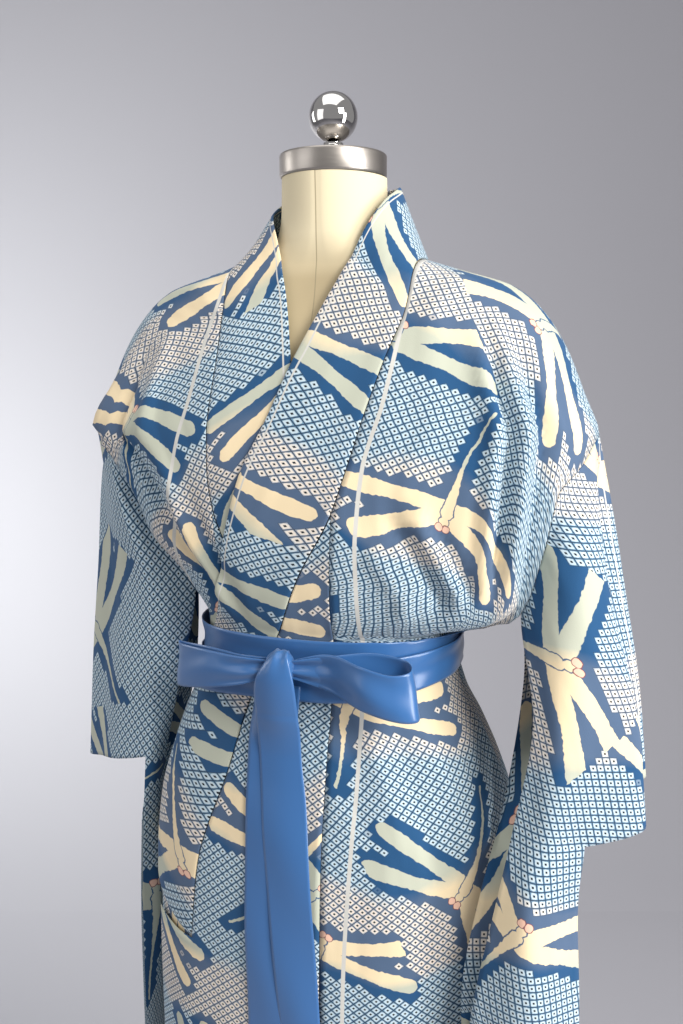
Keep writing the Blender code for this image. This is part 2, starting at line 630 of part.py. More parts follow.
def collar_seam_places(side):
    # The seam's points up one front, over the shoulder and round to the middle of the back.
    places = []
    for z in okumi_heights():
        if z > COLLAR_END_Z:
            angle = angle_at(side * COLLAR_SEAM_X[side](z), z)
            places.append((angle, z, front_lift(side, angle, z)))
    first = len(PANEL_HEIGHTS) - 1
    neck_rows = len([down for down in BACK_DOWNS if down <= BACK_NECK_DOWN])
    return places + [row[0] for row in PLACES[side][first:CREST_ROW + neck_rows + 1]]


def collar_row(side, place, before, after):
    # One row across the collar, from the seam to its free edge.
    angle, z, lift = place
    turn = abs(math.degrees(angle))
    seam = robe_point(angle, z, lift)
    along = robe_point(*after) - robe_point(*before)
    outward = robe_point(angle, z, lift + 0.01) - seam
    inward = outward.cross(along).normalized() * side
    on_neck = z > COLLAR_EDGE[0][0] or turn >= 90
    gap = blend(SEAM_GAP, COLLAR_NECK_GAP, smooth_step(30, 70, turn) if on_neck else 0.0)
    points = []
    for column in range(COLLAR_COLUMNS + 1):
        across = column / COLLAR_COLUMNS
        if on_neck:
            first = 1 if side > 0 else 4
            edge = [smooth_column(COLLAR_NECK, first + i)(turn) for i in range(3)]
            point = seam.lerp(Vector((side * edge[0], edge[1], edge[2])), across)
        else:
            first = 1 if side > 0 else 3
            edge_x = smooth_column(COLLAR_EDGE, first)(z)
            edge_z = smooth_column(COLLAR_EDGE, first + 1)(z)
            edge_angle = angle_at(side * edge_x, edge_z)
            point = robe_point(blend(angle, edge_angle, across), blend(z, edge_z, across), lift)
        points.append(point + inward * gap * (1 - across))
    return points


def build_collar(material):
    # The band runs up the left front, round the neck and down the right front.
    rows = []
    for side in (1, -1):
        places = collar_seam_places(side)
        half = []
        for i, place in enumerate(places):
            before = places[max(i - 1, 0)]
            after = places[min(i + 1, len(places) - 1)]
            half.append(collar_row(side, place, before, after))
        rows += half if side > 0 else list(reversed(half[:-1]))

    def place(column, row):
        return rows[row][column]

    bm = grid_sheet(COLLAR_COLUMNS, len(rows) - 1, place)[0]
    return add_wall(add_object("collar", bm, material), BAND_WALL)


def curve_through(points, position):
    # A smooth curve through a list of points, position counted in points.
    count = len(points)
    i = min(int(position), count - 2)
    t = position - i
    p1 = points[i]
    p2 = points[i + 1]
    p0 = points[i - 1] if i > 0 else p1 * 2 - p2
    p3 = points[i + 2] if i + 2 < count else p2 * 2 - p1
    return 0.5 * (2 * p1 + (p2 - p0) * t + (2 * p0 - 5 * p1 + 4 * p2 - p3) * t ** 2
                  + (3 * p1 - p0 - 3 * p2 + p3) * t ** 3)


def sleeve_seam_row(side, top, columns):
    # The sleeve's first row follows the armhole, from its front corner over the crest to its back corner.
    points = []
    crest = CREST_HEIGHT(CREST_END_X[side])
    middle = columns / 2
    for column in range(columns + 1):
        near = 1 - abs(column - middle) / middle
        z = blend(top, crest, math.sin(near * math.pi / 2))
        points.append(armhole_at(side, column <= middle, z))
    return points


def edge_offset(side, table):
    # From the front layer's outer edge to the back layer's, below the cuff.
    return Vector((side * table["edge"][0], table["edge"][1], 0.0))


def sleeve_lines(side, table, heights, seam_row):
    # Each line starts on the seam. The two edges of the opening follow it further down.
    step = (len(seam_row) - 1) // (len(SLEEVE_LINES) - 1)
    lines = {name: [seam_row[i * step]] for i, name in enumerate(SLEEVE_LINES)}
    for z in heights[1:]:
        lines["opening"].append(armhole_at(side, True, z))
        lines["back_opening"].append(armhole_at(side, False, z))
    for name in SLEEVE_LINES:
        lines[name] += [Vector((side * x, y, z)) for x, y, z in table[name]]
    lines["back_corner"] += [point + edge_offset(side, table) for point in lines["corner"][JOINED_LEVEL:]]
    return lines


def build_sleeve(end, side, table, heights, material):
    # A bag: both layers hang from the armhole, joined at the outer fold, below the cuff and at the bottom.
    # The tube around the arm and the pouch below the cuff are two pieces, each simple to collide with.
    across_steps = SLEEVE_STEPS_ACROSS
    down_steps = SLEEVE_STEPS_DOWN
    columns = across_steps * (len(SLEEVE_LINES) - 1)
    seam_row = sleeve_seam_row(side, heights[0], columns)
    lines = sleeve_lines(side, table, heights, seam_row)
    away = edge_offset(side, table)
    levels = len(lines["opening"]) - 1
    rows = levels * down_steps
    corner = SLEEVE_LINES.index("corner")
    back_corner = SLEEVE_LINES.index("back_corner")
    cuff_row = CUFF_LEVEL * down_steps
    joined_row = JOINED_LEVEL * down_steps

    def seam_place(front, level):
        i = int(level)
        z = blend(heights[i], heights[min(i + 1, len(heights) - 1)], level - i)
        return armhole_at(side, front, z)

    def place(column, row):
        level = row / down_steps
        across = column / across_steps
        if row == 0:
            return seam_row[column]
        if level <= len(heights) - 1 and column in (0, columns):
            return seam_place(column == 0, level)
        if row <= cuff_row:
            names = SLEEVE_LINES
        elif across <= corner:
            names = SLEEVE_LINES[:corner + 1]
        elif across >= back_corner:
            names = SLEEVE_LINES[back_corner:]
            across = across - back_corner
        else:
            return None
        section = [curve_through(lines[line], level) for line in names]
        if row >= joined_row and names[0] == "back_corner":
            section[0] = curve_through(lines["corner"], level) + away
        point = curve_through(section, across)
        if row == rows and names[0] == "back_corner":
            front_names = SLEEVE_LINES[corner::-1]
            front = curve_through([curve_through(lines[line], level) for line in front_names], across)
            return front + (point - front).normalized() * BOTTOM_SEAM
        return point

    front_edge = corner * across_steps
    back_edge = back_corner * across_steps

    def cut_place(column, towards):
        # A point of the cut between the tube and the pouch, moved off it towards another row.
        point = place(column, cuff_row)
        return point + (place(column, towards) - point).normalized() * SEAM_GAP

    def tube_place(column, row):
        return cut_place(column, cuff_row - 1) if row == cuff_row else place(column, row)

    def pouch_place(column, row):
        if row > 0:
            return place(column, row + cuff_row)
        return None if front_edge < column < back_edge else cut_place(column, cuff_row + 1)

    bm = grid_sheet(columns, cuff_row, tube_place)[0]
    add_wall(add_object("sleeve_" + end, bm, material), WALL)

    last = rows - cuff_row
    bm, grid = grid_sheet(columns, last, pouch_place)
    for row in range(joined_row - cuff_row, last):
        bm.faces.new([grid[front_edge, row], grid[back_edge, row],
                      grid[back_edge, row + 1], grid[front_edge, row + 1]])
    for column in range(front_edge):
        bm.faces.new([grid[column, last], grid[column + 1, last],
                      grid[columns - column - 1, last], grid[columns - column, last]])
    add_wall(add_object("sleeve_pouch_" + end, bm, material), WALL)


def wrap_lift(angle):
    # The sash lies over both fronts, and over one layer behind.
    turn = math.degrees(angle)
    over = smooth_step(-100, -86, turn) * smooth_step(96, 70, turn)
    return blend(WRAP_BACK_LIFT, WRAP_FRONT_LIFT, over)


def ring_height(heights, angle):
    # A height that changes smoothly round the waist, from values at the left, front, right and back.
    left, front, right, back = heights
    side = left if math.sin(angle) >= 0 else right
    end = front if math.cos(angle) >= 0 else back
    return blend(end, side, math.sin(angle) ** 2)


def build_wrap(name, step, material):
    top, bottom = WRAP_EDGES[name]
    rows = 2

    def place(column, row):
        angle = math.radians(180 - 360 * (column % WRAP_COLUMNS) / WRAP_COLUMNS)
        z = blend(ring_height(bottom, angle), ring_height(top, angle), row / rows)
        edge = WRAP_TOP_LIFT if row == rows else 0.0
        return robe_point(angle, z, wrap_lift(angle) + step * WRAP_STEP + edge)

    bm = grid_sheet(WRAP_COLUMNS, rows, place)[0]
    bmesh.ops.remove_doubles(bm, verts=bm.verts, dist=0.00001)
    return add_wall(add_object(name, bm, material), RIBBON_WALL)


def knot_middle():
    lift = wrap_lift(0.0) + WRAP_STEP + RIBBON_WALL / 2 + TOUCH
    return robe_point(angle_at(BOW_X, BOW_Z), BOW_Z, lift) + Vector((0.0, -KNOT_HALF[1] * 1.12, 0.0))


def build_knot(material):
    # A rounded block, a little flatter than a ball.
    bm = bmesh.new()
    bmesh.ops.create_uvsphere(bm, u_segments=18, v_segments=10, radius=1.0)
    middle = knot_middle()
    for vertex in bm.verts:
        rounded = [math.copysign(abs(part) ** 0.72, part) for part in vertex.co.normalized()]
        spread = Vector(part * half for part, half in zip(rounded, KNOT_HALF))
        vertex.co = middle + spread
    return add_object("bow_knot", bm, material)


def build_loop(name, table, material):
    middle = knot_middle()
    path = [Vector((x, middle.y - forward, z)) for x, forward, z, half in table]
    heights = [Vector((half, 0.0, 0.0)) for x, forward, z, half in table]
    columns = 3

    def place(column, row):
        position = row / LOOP_ROWS * (len(table) - 1)
        centre = curve_through(path, position)
        half = curve_through(heights, position).x
        return centre + Vector((0.0, 0.0, blend(-half, half, column / columns)))

    bm = grid_sheet(columns, LOOP_ROWS, place)[0]
    return add_wall(add_object(name, bm, material), RIBBON_WALL)


def build_tail(name, table, step, material):
    left = smooth_column(table, 1)
    right = smooth_column(table, 2)
    top = table[0][0]
    bottom = table[-1][0]
    columns = 4

    def place(column, row):
        z = blend(top, bottom, row / TAIL_ROWS)
        x = blend(left(z), right(z), column / columns)
        high = wrap_lift(0.0) + WRAP_STEP + RIBBON_WALL + TOUCH
        lift = blend(TAIL_LIFT_LOW, high, smooth_step(0.985, 1.045, z)) + step * RIBBON_STEP
        return robe_point(angle_at(x, z), z, lift)

    bm = grid_sheet(columns, TAIL_ROWS, place)[0]
    return add_wall(add_object(name, bm, material), RIBBON_WALL)


def build_form(material):
    half = smooth_column(FORM_LEVELS, 1)
    front = smooth_column(FORM_LEVELS, 2)
    back = smooth_column(FORM_LEVELS, 3)
    tops = sorted(row[0] for row in FORM_LEVELS)
    heights = []
    for low, high in zip(tops, tops[1:]):
        steps = 2 if high - low > 0.045 else 1
        heights += [blend(low, high, step / steps) for step in range(steps)]
    heights.append(tops[-1])
    rows = len(heights) - 1

    def place(column, row):
        z = heights[row]
        angle = 2 * math.pi * (column % FORM_COLUMNS) / FORM_COLUMNS
        power = 2 / blend(SECTION_POWER, 2.0, smooth_step(1.505, 1.545, z))
        sine = math.sin(angle)
        cosine = math.cos(angle)
        depth = front(z) if cosine >= 0 else back(z)
        x = math.copysign(half(z) * abs(sine) ** power, sine)
        y = -math.copysign(depth * abs(cosine) ** power, cosine)
        return Vector((x, y, z))

    bm = grid_sheet(FORM_COLUMNS, rows, place)[0]
    bmesh.ops.remove_doubles(bm, verts=bm.verts, dist=0.00001)
    rims = [edge for edge in bm.edges if edge.is_boundary]
    bmesh.ops.holes_fill(bm, edges=rims, sides=0)
    return add_object("form_torso", bm, material)


def build_round(name, radius, height, base_z, centre_y, material, segments=36, bevel=METAL_BEVEL):
    bm = bmesh.new()
    bmesh.ops.create_cone(bm, cap_ends=True, segments=segments, radius1=radius, radius2=radius, depth=height)
    piece = add_object(name, bm, material)
    piece.location = (0.0, centre_y, base_z + height / 2)
    if bevel:
        edge = piece.modifiers.new("edge", "BEVEL")
        edge.width = bevel
        edge.segments = 2
        edge.angle_limit = math.radians(50)
    return piece


def build_ball(radius, centre, material):
    bm = bmesh.new()
    bmesh.ops.create_uvsphere(bm, u_segments=24, v_segments=14, radius=radius)
    piece = add_object("finial_ball", bm, material)
    piece.location = centre
    return piece


clear_scene()
PARTS = bpy.data.collections.new(COLLECTION)
bpy.context.scene.collection.children.link(PARTS)

cotton = make_material("printed_cotton", (0.22, 0.37, 0.50), 0.85)
satin = make_material("blue_satin", (0.10, 0.27, 0.60), 0.32)
linen = make_material("form_linen", (0.80, 0.69, 0.48), 0.90)
nickel = make_material("brushed_nickel", (0.62, 0.59, 0.56), 0.35, 1.0)
chrome = make_material("polished_chrome", (0.80, 0.80, 0.80), 0.08, 1.0)
enamel = make_material("black_enamel", (0.03, 0.03, 0.03), 0.45)

build_body_panel(1, "left", cotton)
build_body_panel(-1, "right", cotton)
build_okumi("okumi_left", 1, cotton)
build_okumi("okumi_right", -1, cotton)
build_collar(cotton)
build_sleeve("left", 1, LEFT_SLEEVE, LEFT_SEAM_HEIGHTS, cotton)
build_sleeve("right", -1, RIGHT_SLEEVE, RIGHT_SEAM_HEIGHTS, cotton)

build_wrap("sash_wrap_upper", 0, satin)
build_wrap("sash_wrap_lower", 1, satin)
build_knot(satin)
build_loop("bow_loop_left", LEFT_LOOP, satin)
build_loop("bow_loop_right", RIGHT_LOOP, satin)
build_tail("bow_tail_back", BACK_TAIL, 0, satin)
build_tail("bow_tail_front", FRONT_TAIL, 1, satin)

build_form(linen)
cap_z = FORM_LEVELS[0][0] + TOUCH
cap_y = (FORM_LEVELS[0][3] - FORM_LEVELS[0][2]) / 2
stub_z = cap_z + CAP_HEIGHT + TOUCH
ball_z = stub_z + STUB_HEIGHT + TOUCH + BALL_RADIUS
build_round("neck_cap", CAP_RADIUS, CAP_HEIGHT, cap_z, cap_y, nickel)
build_round("finial_stub", STUB_RADIUS, STUB_HEIGHT, stub_z, cap_y, chrome, segments=24, bevel=0)
build_ball(BALL_RADIUS, (0.0, cap_y, ball_z), chrome)
pole_height = FORM_LEVELS[-1][0] - BASE_HEIGHT - 2 * TOUCH
build_round("stand_pole", POLE_RADIUS, pole_height, BASE_HEIGHT + TOUCH, 0.0, enamel, segments=24, bevel=0)
build_round("stand_base", BASE_RADIUS, BASE_HEIGHT, 0.0, 0.0, enamel, segments=40, bevel=0.004)
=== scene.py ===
import bisect
import math

import bmesh
import bpy
from mathutils import Matrix, Vector


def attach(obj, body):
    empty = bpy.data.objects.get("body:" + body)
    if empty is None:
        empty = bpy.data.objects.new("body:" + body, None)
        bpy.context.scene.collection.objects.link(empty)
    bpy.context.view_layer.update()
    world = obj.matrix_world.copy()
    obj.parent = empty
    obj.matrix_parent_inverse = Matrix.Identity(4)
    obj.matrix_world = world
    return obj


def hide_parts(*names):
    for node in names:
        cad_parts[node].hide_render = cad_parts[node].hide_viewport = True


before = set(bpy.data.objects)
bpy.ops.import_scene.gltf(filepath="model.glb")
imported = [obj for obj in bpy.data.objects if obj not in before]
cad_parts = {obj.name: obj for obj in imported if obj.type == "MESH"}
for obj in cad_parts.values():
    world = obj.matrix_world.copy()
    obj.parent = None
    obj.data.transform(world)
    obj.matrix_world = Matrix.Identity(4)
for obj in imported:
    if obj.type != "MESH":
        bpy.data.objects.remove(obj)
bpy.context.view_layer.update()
print("stage: frame loaded")

# The robe as worn. Angles run from the front middle (0) to the wearer's left (90) and round behind.
robe = {
    "power": 2.3,
    # height, half width at the left front, right front and rear, depth in front and behind
    "levels": [
        (1.502, 0.097, 0.097, 0.097, 0.06, 0.07),
        (1.492, 0.13, 0.13, 0.13, 0.063, 0.076),
        (1.475, 0.183, 0.183, 0.183, 0.066, 0.087),
        (1.451, 0.212, 0.212, 0.212, 0.074, 0.097),
        (1.418, 0.234, 0.234, 0.234, 0.089, 0.107),
        (1.371, 0.254, 0.254, 0.254, 0.108, 0.115),
        (1.332, 0.269, 0.272, 0.269, 0.12, 0.118),
        (1.322, 0.268, 0.263, 0.268, 0.122, 0.119),
        (1.312, 0.267, 0.25, 0.266, 0.125, 0.119),
        (1.277, 0.265, 0.22, 0.263, 0.13, 0.117),
        (1.23, 0.26, 0.199, 0.255, 0.131, 0.112),
        (1.185, 0.253, 0.159, 0.24, 0.126, 0.106),
        (1.165, 0.234, 0.148, 0.215, 0.121, 0.103),
        (1.152, 0.185, 0.141, 0.175, 0.1165, 0.101),
        (1.14, 0.136, 0.136, 0.136, 0.112, 0.099),
        (1.095, 0.134, 0.134, 0.134, 0.11, 0.097),
        (1.064, 0.142, 0.143, 0.142, 0.111, 0.1),
        (1.03, 0.16, 0.16, 0.16, 0.118, 0.109),
        (0.98, 0.18, 0.179, 0.18, 0.126, 0.121),
        (0.93, 0.193, 0.192, 0.193, 0.133, 0.128),
        (0.86, 0.199, 0.199, 0.199, 0.138, 0.132),
        (0.76, 0.2, 0.2, 0.2, 0.141, 0.134),
        (0.6, 0.199, 0.198, 0.199, 0.143, 0.135),
        (0.4, 0.201, 0.2, 0.201, 0.145, 0.137),
        (0.2, 0.205, 0.204, 0.205, 0.148, 0.139),
        (0.07, 0.209, 0.208, 0.209, 0.15, 0.14),
    ],
    # height, how much of the half width a panel covers at its armhole: left front, right front, rear
    "armhole": [
        (1.332, 1.0, 1.0, 1.0), (1.322, 0.985, 0.92, 0.985), (1.312, 0.97, 0.865, 0.97),
        (1.277, 0.883, 0.91, 0.897), (1.23, 0.869, 0.932, 0.878), (1.185, 0.854, 0.937, 0.85),
        (1.165, 0.864, 0.96, 0.865), (1.152, 0.93, 0.985, 0.915), (1.14, 1.0, 1.0, 1.0),
    ],
    # height, x of the seam between front and collar, towards the front's own side: left, right
    "collarSeam": [
        (1.502, 0.0965, 0.0965), (1.451, 0.093, 0.096), (1.4, 0.079, 0.094), (1.354, 0.0665, 0.095),
        (1.3, 0.052, 0.092), (1.263, 0.04, 0.086), (1.2, 0.006, 0.055), (1.14, -0.02, 0.023),
        (1.085, -0.046, 0.0), (0.991, -0.074, -0.04), (0.891, -0.105, -0.078),
        (0.807, -0.113, -0.095),
    ],
    # height, x of the seam with the okumi: left, right, then of the okumi's free edge: left, right
    "okumi": [
        (1.263, 0.04, 0.086, -0.175, -0.145), (1.138, 0.035, 0.075, -0.175, -0.145),
        (1.04, 0.032, 0.067, -0.175, -0.145), (0.88, 0.03, 0.062, -0.175, -0.145),
        (0.64, 0.03, 0.062, -0.172, -0.14), (0.07, 0.03, 0.062, -0.16, -0.13),
    ],
    "neckZ": 1.502, "neckX": 0.0965, "crossZ": 1.42, "pointZ": 1.263, "collarEndZ": 0.807,
    "backNeckDown": 0.3, "frontLift": 0.0042, "seamGap": 0.0005,
    # large folds: angle, spread, top, full from, full to, bottom, height
    "folds": [
        (46, 9, 1.44, 1.33, 1.2, 1.145, 0.008), (57, 5, 1.42, 1.32, 1.2, 1.15, -0.006),
        (-55, 9, 1.44, 1.34, 1.24, 1.145, 0.006), (128, 9, 1.43, 1.32, 1.2, 1.145, 0.008),
        (-128, 9, 1.43, 1.32, 1.2, 1.145, 0.008), (158, 10, 1.36, 1.26, 1.2, 1.145, 0.005),
        (-156, 9, 1.36, 1.26, 1.2, 1.145, 0.0045), (28, 9, 1.05, 0.86, 0.07, 0, 0.0035),
        (64, 10, 1.05, 0.88, 0.07, 0, 0.006), (104, 11, 1.04, 0.86, 0.07, 0, 0.007),
        (141, 11, 1.05, 0.85, 0.07, 0, 0.0075), (174, 11, 1.05, 0.85, 0.07, 0, 0.006),
        (-148, 11, 1.05, 0.85, 0.07, 0, 0.0075), (-112, 11, 1.04, 0.86, 0.07, 0, 0.0065),
        (-34, 10, 1.05, 0.86, 0.07, 0, 0.004),
    ],
    # creases: angle and height at both ends, width in metres, height in metres
    "creases": [
        (40, 1.43, 39.5, 1.2, 0.007, 0.0085), (44, 1.43, 43, 1.19, 0.005, -0.0105),
        (48.5, 1.44, 47, 1.175, 0.007, 0.008), (54, 1.43, 53, 1.168, 0.006, -0.011),
        (60, 1.41, 59, 1.17, 0.009, 0.0055), (34, 1.33, 34, 1.2, 0.011, 0.0022),
        (18, 1.262, 31, 1.178, 0.006, -0.0065), (22.5, 1.268, 35, 1.184, 0.0065, 0.0065),
        (13, 1.24, 24, 1.166, 0.006, 0.0042), (28, 1.25, 38, 1.19, 0.006, -0.0055),
        (24, 1.2, 19, 1.15, 0.005, 0.002), (33, 1.205, 27, 1.152, 0.005, -0.0022),
        (42, 1.215, 36, 1.155, 0.006, 0.0028), (64, 1.215, 52, 1.155, 0.006, -0.0026),
        (70, 1.215, 60, 1.155, 0.007, 0.0026), (9, 1.28, 8, 1.16, 0.008, 0.0014),
        (20, 1.45, 15, 1.33, 0.01, 0.0016), (32, 1.47, 24, 1.34, 0.01, 0.0018),
        (-40, 1.44, -33, 1.24, 0.01, 0.0065), (-50, 1.43, -45, 1.24, 0.008, -0.0075),
        (-60, 1.4, -58, 1.26, 0.009, 0.0062), (-44, 1.28, -35, 1.16, 0.007, -0.006),
        (-36, 1.28, -27, 1.16, 0.006, 0.0052), (-27, 1.26, -20, 1.16, 0.006, -0.0045),
        (-58, 1.27, -62, 1.16, 0.007, 0.0022), (-70, 1.25, -76, 1.16, 0.007, -0.0018),
        (24, 1.075, 30, 0.93, 0.008, 0.0024), (34, 1.07, 42, 0.9, 0.009, -0.0026),
        (46, 1.068, 56, 0.9, 0.01, 0.0028), (60, 1.065, 72, 0.92, 0.009, -0.0026),
        (15, 1.072, 18, 0.96, 0.007, -0.0016), (-12, 1.07, -16, 0.94, 0.008, 0.0018),
        (-30, 1.068, -38, 0.94, 0.008, -0.002), (-46, 1.064, -56, 0.92, 0.01, 0.0024),
        (-66, 1.06, -76, 0.94, 0.01, -0.0022), (84, 1.066, 92, 0.93, 0.01, 0.0026),
        (110, 1.07, 116, 0.93, 0.01, -0.0026), (132, 1.072, 134, 0.92, 0.01, 0.0026),
        (156, 1.072, 152, 0.93, 0.01, -0.0024), (-90, 1.062, -98, 0.93, 0.01, 0.0024),
        (-118, 1.064, -124, 0.93, 0.01, -0.0024), (-142, 1.066, -146, 0.93, 0.01, 0.0024),
        (-165, 1.068, -164, 0.94, 0.01, -0.0022), (112, 1.24, 108, 1.155, 0.008, 0.0026),
        (138, 1.24, 136, 1.155, 0.008, -0.0024), (150, 1.24, 149, 1.155, 0.008, 0.0022),
        (168, 1.23, 168, 1.155, 0.008, -0.002), (-112, 1.24, -108, 1.155, 0.008, 0.0024),
        (-138, 1.24, -136, 1.155, 0.008, -0.0022), (-166, 1.23, -167, 1.155, 0.008, 0.0018),
    ],
}


def smoothColumn(rows, column):
    # a monotone cubic through one column of a table
    table = sorted(rows)
    keys = [row[0] for row in table]
    values = [row[column] for row in table]
    steps = [b - a for a, b in zip(keys, keys[1:])]
    slopes = [(b - a) / step for a, b, step in zip(values, values[1:], steps)]
    tangents = [slopes[0]]
    for i in range(1, len(slopes)):
        if slopes[i - 1] * slopes[i] > 0:
            near = 2 * steps[i] + steps[i - 1]
            far = steps[i] + 2 * steps[i - 1]
            tangents.append((near + far) / (near / slopes[i - 1] + far / slopes[i]))
        else:
            tangents.append(0.0)
    tangents.append(slopes[-1])

    def value(key):
        key = min(max(key, keys[0]), keys[-1])
        i = min(max(bisect.bisect_left(keys, key) - 1, 0), len(keys) - 2)
        t = (key - keys[i]) / steps[i]
        held = (1 + 2 * t) * (1 - t) ** 2 * values[i] + t * t * (3 - 2 * t) * values[i + 1]
        return held + (t * (1 - t) ** 2 * tangents[i] - t * t * (1 - t) * tangents[i + 1]) * steps[i]

    return value


def smoothStep(low, high, value):
    t = min(max((value - low) / (high - low), 0.0), 1.0)
    return t * t * (3 - 2 * t)


def blend(a, b, t):
    return a + (b - a) * t


def smoothSides(rows, column):
    # the wearer's left (1) and right (-1), in columns that stand side by side
    return {1: smoothColumn(rows, column), -1: smoothColumn(rows, column + 1)}


leftHalf, rightHalf, rearHalf, frontDepth, backDepth = [smoothColumn(robe["levels"], i) for i in range(1, 6)]
crestHeight = smoothColumn([(row[1], row[0]) for row in robe["levels"] if row[0] >= 1.332], 1)
collarSeamX = smoothSides(robe["collarSeam"], 1)
okumiSeamX = smoothSides(robe["okumi"], 1)
okumiEdgeX = smoothSides(robe["okumi"], 3)
frontShare = smoothSides(robe["armhole"], 1)
rearShare = smoothColumn(robe["armhole"], 3)
crestEndX = {1: robe["levels"][6][1], -1: robe["levels"][6][2]}
power = robe["power"]
seamGap = robe["seamGap"]


def turnBetween(a, b):
    return (a - b + 180) % 360 - 180


def foldHeight(angle, z, place):
    degrees = math.degrees(angle)
    height = 0.0
    for centre, spread, top, fullTop, fullBottom, bottom, size in robe["folds"]:
        turn = turnBetween(degrees, centre)
        if abs(turn) < 3 * spread and bottom < z < top:
            rise = smoothStep(top, fullTop, z) * smoothStep(bottom, fullBottom, z)
            height += size * rise * math.exp(-(turn / spread) ** 2)
    reach = math.hypot(place.x, place.y)
    for angleA, zA, angleB, zB, width, size in robe["creases"]:
        if zB - 0.03 < z < zA + 0.03:
            t = min(max((zA - z) / (zA - zB), 0.0), 1.0)
            away = math.radians(turnBetween(degrees, blend(angleA, angleB, t))) * reach
            if abs(away) < 3 * width:
                above = smoothStep(zA + 0.02, blend(zA, zB, 0.3), z)
                below = smoothStep(zB - 0.02, blend(zB, zA, 0.2), z)
                height += size * above * below * math.exp(-(away / width) ** 2)
    return height


def halfWidth(angle, z):
    if abs(angle) > math.pi / 2:
        return rearHalf(z)
    return leftHalf(z) if angle >= 0 else rightHalf(z)


def robePoint(angle, z, lift=0.0):
    angle = (angle + math.pi) % (2 * math.pi) - math.pi
    depthAt = frontDepth if abs(angle) <= math.pi / 2 else backDepth
    half = halfWidth(angle, z)
    depth = depthAt(z)
    sine = math.sin(angle)
    cosine = math.cos(angle)
    xShare = abs(sine) ** (2 / power)
    yShare = abs(cosine) ** (2 / power)
    place = Vector((math.copysign(half * xShare, sine), -math.copysign(depth * yShare, cosine), z))
    step = 0.004
    halfSlope = (halfWidth(angle, z + step) - halfWidth(angle, z - step)) / (2 * step)
    depthSlope = (depthAt(z + step) - depthAt(z - step)) / (2 * step)
    outX = math.copysign(xShare ** (power - 1) / half, sine)
    outY = -math.copysign(yShare ** (power - 1) / depth, cosine)
    outZ = -xShare ** power * halfSlope / half - yShare ** power * depthSlope / depth
    return place + Vector((outX, outY, outZ)).normalized() * (lift + foldHeight(angle, z, place))


def angleAt(x, z):
    share = min(abs(x) / halfWidth(math.copysign(1.0, x), z), 1.0)
    return math.copysign(math.asin(share ** (power / 2)), x)


def frontLift(side, angle, z):
    # the left front rides over the right one
    if side < 0:
        return 0.0
    across = smoothStep(math.radians(82), math.radians(58), angle)
    return robe["frontLift"] * across * smoothStep(1.48, robe["crossZ"], z)


def innerFrontX(side, z):
    if z >= robe["pointZ"]:
        return collarSeamX[side](z)
    return okumiSeamX[side](z) + seamGap / 2


def outerAngle(side, front, z):
    shareAt = frontShare[side] if front else rearShare
    share = shareAt(z) if z > robe["armhole"][-1][0] else 1.0
    depth = frontDepth(z) if front else backDepth(z)
    return min(math.asin(share ** (power / 2)), math.acos((seamGap / depth) ** (power / 2)))


def lowerPanelPlace(side, front, across, z):
    outer = outerAngle(side, front, z)
    if front:
        inner = side * angleAt(side * innerFrontX(side, z), z)
        angle = side * blend(inner, outer, across)
        return angle, z, frontLift(side, angle, z)
    inner = math.asin((seamGap / 2 / rearHalf(z)) ** (power / 2))
    return side * (math.pi - blend(inner, outer, across)), z, 0.0


def upperPanelPlace(side, front, across, down):
    # from the shoulder's crest (down 0) to the height of the okumi's point (down 1)
    crestZ = crestHeight(blend(robe["neckX"], crestEndX[side], across))
    if down <= 0:
        return side * math.pi / 2, crestZ, 0.0
    fall = 1 - math.cos(down * math.pi / 2)
    outerZ = blend(crestHeight(crestEndX[side]), robe["pointZ"], fall)
    outer = outerAngle(side, front, outerZ)
    if front:
        z = blend(crestZ, robe["pointZ"], fall)
        innerZ = blend(robe["neckZ"], robe["pointZ"], fall)
        innerX = innerFrontX(side, innerZ)
        inner = side * angleAt(side * innerX, innerZ)
        outerHalf = halfWidth(side * 1.0, outerZ)
        half = halfWidth(side * 1.0, z)
    else:
        wait = robe["backNeckDown"] * (1 - across) ** 3
        rest = max(0.0, (down - wait) / (1 - wait))
        z = blend(crestZ, robe["pointZ"], 1 - math.cos(rest * math.pi / 2))
        innerX = blend(robe["neckX"], seamGap / 2, smoothStep(0.0, robe["backNeckDown"], down))
        inner = math.asin((seamGap / 2 / rearHalf(z)) ** (power / 2))
        outerHalf = rearHalf(outerZ)
        half = rearHalf(z)
    straightX = blend(innerX, outerHalf * math.sin(outer) ** (2 / power), across)
    turned = blend(inner, outer, across)
    turnedX = half * math.copysign(abs(math.sin(turned)) ** (2 / power), turned)
    x = blend(straightX, turnedX, smoothStep(0.45, 1.0, down))
    angle = math.copysign(math.asin(min(abs(x) / half, 1.0) ** (power / 2)), x)
    if front:
        return side * angle, z, frontLift(side, side * angle, z)
    return side * (math.pi - angle), z, 0.0


def spaced(marks, step):
    # the marks, with more between them so that none are further apart than step
    values = []
    for a, b in zip(marks, marks[1:]):
        count = max(1, math.ceil(abs(b - a) / step))
        values += [blend(a, b, i / count) for i in range(count)]
    return values + [marks[-1]]


